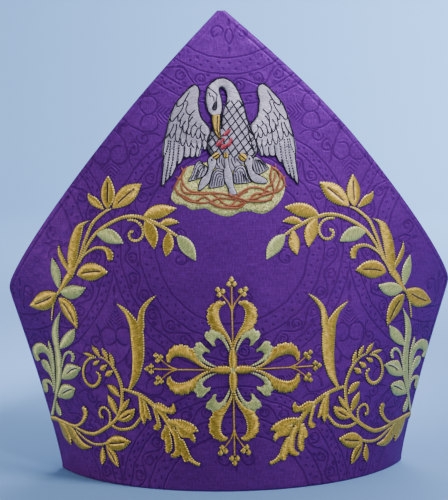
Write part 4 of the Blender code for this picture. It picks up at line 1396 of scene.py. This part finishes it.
filled(silver_work, [(left, z, right, z) for z, left, right in BREAST], same, rise=0.4, floor=BREAST_BASE)
filled(silver_work, NECK, same, rise=0.5, floor=NECK_BASE)
for points in BODY_LINES:
    stroke(points, same, BODY_LINE_BASE, LINE_WIDTH)


def breast_edges(z):
    for (high, left0, right0), (low, left1, right1) in zip(BREAST, BREAST[1:]):
        if low <= z <= high:
            t = (high - z) / (high - low)
            return left0 + (left1 - left0) * t, right0 + (right1 - right0) * t
    return 0.0, 0.0


for slope in NET_SLOPES:
    for k in range(-NET_THREADS, NET_THREADS + 1):
        run = []
        for step in range(NET_STEPS):
            z = BREAST[0][0] - NET_STEP * step
            x = NET_X + NET_CELL * k + slope * (z - NET_Z)
            left, right = breast_edges(z)
            covered = x < NET_CORNER_X and z > NET_CORNER_Z
            if left + NET_MARGIN < x < right - NET_MARGIN and not covered:
                run.append((x, z))
        if len(run) > NET_SHORTEST:
            stroke([run[0], run[len(run) // 3], run[2 * len(run) // 3], run[-1]], same, NET_BASE, FINE_WIDTH)
beak_work.line(BEAK, same, rise=0.5, floor=BEAK_BASE, **CLOSE)
for points in BEAK_LINES:
    stroke(points, same, BEAK_LINE_BASE, BEAK_LINE_WIDTH)
black_work.line(EYE, same, rise=0.4, floor=EYE_BASE, **CLOSE)
for *ends, width in DROPS:
    drop = straight(*ends, [(t, max(0.3, width * math.sin(math.pi * t) ** 0.7)) for t in DROP_SHARES])
    blood_work.line(drop, same, rise=0.5, floor=DROP_BASE, serrate=0.05, edged=False)

# Her three young, worked in the same threads: one stretches up at the left of the nest, one at the right and one
# stands in the middle, each with a gold beak, and a fan of feathers spread on either side.
# Rows down from the crown: left edge x, z and right edge x, z.
CHICKS = (
    (
        (-12.6, 214, -10.6, 213.8), (-14.4, 212.4, -9.4, 212.4), (-14.8, 210.2, -9.2, 209.4),
        (-14.4, 207.4, -10.2, 207), (-14.8, 204.6, -11.4, 205), (-16.2, 202.2, -12.6, 202),
        (-18.6, 200.2, -13.4, 199), (-19.9, 198, -14.8, 196.4), (-20.9, 194.8, -17.4, 194.2),
        (-21.2, 193, -20.2, 192.2),
    ),
    (
        (-4.2, 213, -1.8, 213), (-4.3, 210, -1.4, 210), (-3.9, 207.6, -1.1, 207.2), (-4.7, 205, 0.1, 204.6),
        (-4.8, 202, 0.8, 202), (-4.4, 198.6, 1.1, 198.6), (-3.2, 195.4, 1.4, 195.6), (-1.8, 192.8, 2.2, 193),
        (-1.6, 190.4, 3.5, 190.2), (-1, 189.6, 2.6, 189.2),
    ),
    (
        (10.4, 214, 12.4, 214), (9.6, 211.6, 13.8, 212), (8.6, 209, 13.9, 209), (10, 206.4, 13.4, 206.4),
        (10.6, 203.2, 14.4, 204), (11.8, 200, 16.2, 202.2), (13.4, 197.8, 18.2, 201.2), (15.2, 196.6, 20.6, 200),
        (18.6, 196.1, 22.4, 198.6), (22, 196.1, 23, 197.2),
    ),
)
# their feathers in the same way, and the black lines on them
CHICK_WINGS = (
    (
        (-17, 208.6, -14.8, 206.6), (-19.4, 211, -15.2, 205), (-21, 210.8, -16.4, 202.6),
        (-22.4, 209.2, -18.2, 200.8), (-23.6, 206.6, -20.6, 200), (-24.6, 203.6, -23.2, 199),
        (-25.8, 201, -25.6, 198.3), (-27.4, 198.6, -26.8, 198),
    ),
    (
        (-8.8, 206, -5.4, 205.4), (-10.6, 204.8, -4.9, 204), (-12, 202.6, -4.7, 201.8), (-13, 199, -4.5, 199),
        (-13.8, 196.2, -4.4, 196.6), (-14.3, 194.8, -4.8, 195.2), (-13.4, 193.7, -6.2, 194.6),
    ),
    (
        (4.2, 207.5, 7.8, 207.5), (2.4, 205.8, 9.2, 205.6), (1.6, 203.4, 10, 202.6), (1.4, 200.4, 10.6, 200.2),
        (1.6, 198, 12, 198.2), (1.9, 196.6, 12.8, 197.2), (3.4, 196.2, 10.6, 196.6),
    ),
    (
        (13.9, 209.6, 14.2, 212.4), (13.9, 207, 16.2, 213.2), (14.8, 203.8, 18.4, 212), (16.8, 201.9, 20.4, 210.2),
        (19.2, 202.4, 22.2, 208.2), (21.4, 203.6, 23.6, 206.4), (23.4, 204.9, 24.4, 205.5),
    ),
)
CHICK_WING_LINES = (
    ((-16.2, 207.4), (-19, 209.7), (-20.6, 209.5), (-22.4, 206.6), (-23.6, 203), (-25.4, 199.4)),
    ((-16.6, 206.6), (-18.6, 208.2), (-20.2, 207.2), (-21.8, 204), (-23.4, 199.8)),
    ((-16.8, 205.6), (-18.2, 206.8), (-19.6, 205), (-21.4, 200.6)),
    ((-16.8, 204.6), (-17.8, 205.2), (-18.6, 203.4), (-19.4, 201.2)),
    ((-20.4, 205.4), (-21.6, 202.4), (-22.4, 199.8)),
    ((-5.2, 203.8), (-8.2, 204.7), (-10.3, 203.4), (-11.5, 200.4), (-12.5, 195.2)),
    ((-5.6, 202.2), (-8, 203), (-9.4, 201.6), (-10.3, 198.6), (-11, 195)),
    ((-6.2, 200.8), (-7.8, 201.2), (-8.7, 198.8), (-9.4, 195)), ((-6.6, 199.8), (-7.6, 197.6), (-7.8, 195)),
    ((-5.6, 199.8), (-6, 197.4), (-6.2, 195.4)),
    ((2.8, 203.6), (4.4, 205.8), (6, 206.3), (7.7, 205.6), (8.7, 203.2), (9.5, 200), (11.2, 197.4)),
    ((2.7, 202.6), (3.1, 200), (3.2, 197)), ((4.1, 203.8), (4.8, 200.6), (4.9, 197)),
    ((5.4, 204.6), (6.3, 201.4), (6.6, 197)), ((6.7, 204.2), (7.6, 201), (8.2, 197.2)),
    ((7.7, 202.4), (8.8, 199.8), (9.9, 197.2)), ((15.4, 211.8), (15.3, 208.6), (16.6, 203.6)),
    ((16.2, 211.6), (16.9, 208), (18.4, 203.2)), ((16.8, 211.4), (18.4, 208.2), (20.2, 203.8)),
    ((17.4, 211.4), (19.6, 208.8), (21.8, 204.8)), ((18, 211.2), (20.6, 208.8), (23, 205.6)),
    ((-8.6, 212.6), (-8.9, 209.4), (-7.2, 206.6)), ((-5.8, 212.6), (-5.7, 209.4), (-4.4, 206.6)),
    ((0.2, 212.6), (1, 209.4), (2.6, 206.6)), ((3.6, 212.4), (5, 210.4), (6.8, 208.6)),
    ((-7.2, 213), (-7.2, 209.6)), ((2.2, 212.8), (2.8, 209.6)),
)
# root, point and width of each beak, and how it tapers
CHICK_BEAKS = (
    ((-11.4, 213), (-7.4, 215.6), 3.2), ((-3.1, 212.6), (-3.1, 216.2), 2.7), ((9.6, 211.4), (5.6, 214.8), 3.9),
)
CHICK_BEAK_TAPER = ((0.0, 0.5), (0.25, 1.0), (0.7, 1.0), (1.0, 0.4))
CHICK_EYES = ((-12.1, 211.5), (11.6, 211.9))
# the down between the young birds' necks: x, low, high
DOWN = (
    (-10.2, 206.4, 213.4), (-7, 205.4, 213.4), (-4, 204, 213.4), (0, 204, 213.4), (3, 205.4, 213.4),
    (6, 207.6, 213.4), (9.2, 209.2, 213.4),
)
# as above, how high each layer starts above the cloth
DOWN_BASE, CHICK_WING_BASE, CHICK_BASE, CHICK_LINE_BASE = 0.5, 0.45, 0.75, 0.85
CHICK_BEAK_EDGE_BASE, CHICK_BEAK_BASE, CHICK_BEAK_LINE_BASE, CHICK_EYE_BASE = 1.05, 1.2, 1.65, 1.1
# their outline and feather lines, how much wider than a beak its black edge is, and an eye's half height, width
CHICK_OUTLINE, CHICK_LINE_WIDTH, CHICK_BEAK_EDGE = 0.6, 0.62, 1.1
CHICK_EYE_HALF, CHICK_EYE_WIDTH, CHICK_EYE_END = 0.9, 1.5, 0.4

filled(silver_work, [(x, low, x, high) for x, low, high in DOWN], same, rise=0.2, floor=DOWN_BASE)
for patches, rise, base in ((CHICK_WINGS, 0.2, CHICK_WING_BASE), (CHICKS, 0.45, CHICK_BASE)):
    for rows in patches:
        filled(silver_work, rows, same, rise, base, pitch=0.7)
        left, right = [row[:2] for row in rows], [row[2:] for row in rows]
        stroke([*left, *reversed(right), left[0]], same, base + 0.2, CHICK_OUTLINE)
for points in CHICK_WING_LINES:
    stroke(points, same, CHICK_LINE_BASE, CHICK_LINE_WIDTH)
for root, point, width in CHICK_BEAKS:
    line = straight(*root, *point, [(t, width * part) for t, part in CHICK_BEAK_TAPER])
    beak_work.line(line, same, rise=0.4, floor=CHICK_BEAK_BASE, **CLOSE)
    edge = [(x, z, w + CHICK_BEAK_EDGE) for x, z, w in line]
    black_work.line(edge, same, rise=0.2, floor=CHICK_BEAK_EDGE_BASE, **CLOSE)
    middle = [(a + b) / 2.0 for a, b in zip(root, point)]
    stroke([root, middle, point], same, CHICK_BEAK_LINE_BASE, LINE_WIDTH)
for x, z in CHICK_EYES:
    widths = ((1, CHICK_EYE_END), (0, CHICK_EYE_WIDTH), (-1, CHICK_EYE_END))
    eye = [(x, z + up * CHICK_EYE_HALF, width) for up, width in widths]
    black_work.line(eye, same, rise=0.3, floor=CHICK_EYE_BASE, **CLOSE)
silver_work.finish("pelican_silver", silver_thread)
black_work.finish("pelican_outline", black_thread)
beak_work.finish("pelican_beak", ochre_thread)
blood_work.finish("pelican_drops", red_thread)

# The set: a plain pale table that curves up into a backdrop, soft lamps, and a camera that stands 1.2 m in front
# of the mitre at the height of its crown, and looks a little down at it.
bpy.ops.object.select_all(action="DESELECT")
bpy.ops.mesh.primitive_plane_add(size=6.0, location=(0.0, 0.0, 0.0))
table = bpy.context.object
table.name = "table"
bpy.ops.object.mode_set(mode="EDIT")
bpy.ops.mesh.select_all(action="DESELECT")
bpy.ops.object.mode_set(mode="OBJECT")
for edge in table.data.edges:
    edge.select = all(table.data.vertices[v].co.y > 2.9 for v in edge.vertices)
bpy.ops.object.mode_set(mode="EDIT")
bpy.ops.mesh.select_mode(type="EDGE")
bpy.ops.mesh.extrude_region_move(TRANSFORM_OT_translate={"value": (0.0, 0.0, 4.0)})
bpy.ops.object.mode_set(mode="OBJECT")
# background paper is quite matt, so the lamps show on it only as a soft pool of light
paper, paper_shader, _ = new_material("pale_blue_paper")
feed(paper_shader, {"Base Color": paint("#76a4d8"), "Roughness": 0.9})
table.data.materials.append(paper)
bend = table.modifiers.new("cove", "BEVEL")
bend.width, bend.segments = 1.0, 12
bpy.ops.object.modifier_apply(modifier=bend.name)
bpy.ops.object.shade_smooth()

world = bpy.data.worlds.new("soft_room")
bpy.context.scene.world = world
world.use_nodes = True
feed(world.node_tree.nodes["Background"], {"Color": paint("#f0ecee"), "Strength": 0.34})


def lamp(name, place, aim, size, power, colour, cone=None):
    """A square soft box or, given a cone in degrees, a lamp with a soft round beam."""
    light = bpy.data.lights.new(name, "SPOT" if cone else "AREA")
    light.energy, light.color = power, paint(colour)[:3]
    if cone:
        light.spot_size, light.spot_blend, light.shadow_soft_size = math.radians(cone), 1.0, size
    else:
        light.shape, light.size = "SQUARE", size
    made = bpy.data.objects.new(name, light)
    bpy.context.scene.collection.objects.link(made)
    made.location = place
    made.rotation_euler = (Vector(aim) - Vector(place)).to_track_quat("-Z", "Y").to_euler()


lamp("key", (0.68, -0.6, 0.98), (0.0, -0.15, 0.24), 0.35, 12.4, "#f8f2ff")
lamp("fill", (-1.2, -1.1, 1.1), (0.0, -0.1, 0.2), 0.6, 1.4, "#fbf6fc")
lamp("low_left", (-1.15, -0.44, 0.06), (-0.1, -0.12, 0.0), 0.35, 10.4, "#fff2ec")
lamp("low_right", (0.7, -0.95, 0.05), (0.05, -0.15, 0.0), 0.35, 3.4, "#fff2ec")
lamp("back", (0.2, 1.3, 1.6), (0.0, 0.0, 0.1), 0.8, 12.0, "#fff2f0")
lamp("tip", (0.26, -0.78, 0.95), (0.05, -0.1, 0.295), 0.12, 188.0, "#e8e4ff", cone=22.0)
lamp("backdrop", (1.75, 1.0, 1.45), (1.45, 2.9, 0.35), 0.8, 226.0, "#f6f9ff")
lamp("floor", (0.5, 0.9, 1.5), (0.3, 0.9, 0.0), 1.2, 14.0, "#f4f8ff")

CAMERA_PLACE, CAMERA_YAW, CAMERA_PITCH, CAMERA_ROLL = (-39.0, -1199.0, 273.0), 1.70, 5.99, -0.9
FRAME_HEIGHT_PIXELS, FOCAL_PIXELS, SENSOR = 500.0, 1786.0, 36.0
yaw, pitch, roll = (math.radians(angle) for angle in (CAMERA_YAW, CAMERA_PITCH, CAMERA_ROLL))
right = Vector((math.cos(yaw), -math.sin(yaw), 0.0))
level = Vector((math.sin(yaw), math.cos(yaw), 0.0))
forward = level * math.cos(pitch) - Vector((0.0, 0.0, math.sin(pitch)))
upward = level * math.sin(pitch) + Vector((0.0, 0.0, math.cos(pitch)))
camera_right = right * math.cos(roll) + upward * math.sin(roll)
camera_up = upward * math.cos(roll) - right * math.sin(roll)
view_data = bpy.data.cameras.new("camera")
view_data.sensor_fit, view_data.sensor_height = "VERTICAL", SENSOR
view_data.lens = FOCAL_PIXELS * SENSOR / FRAME_HEIGHT_PIXELS
camera = bpy.data.objects.new("camera", view_data)
bpy.context.scene.collection.objects.link(camera)
turned = Matrix((camera_right, camera_up, -forward)).transposed().to_4x4()
turned.translation = Vector(CAMERA_PLACE) * MM + Vector((0.0, SEAM_Y, 0.0))
camera.matrix_world = turned
bpy.context.scene.camera = camera
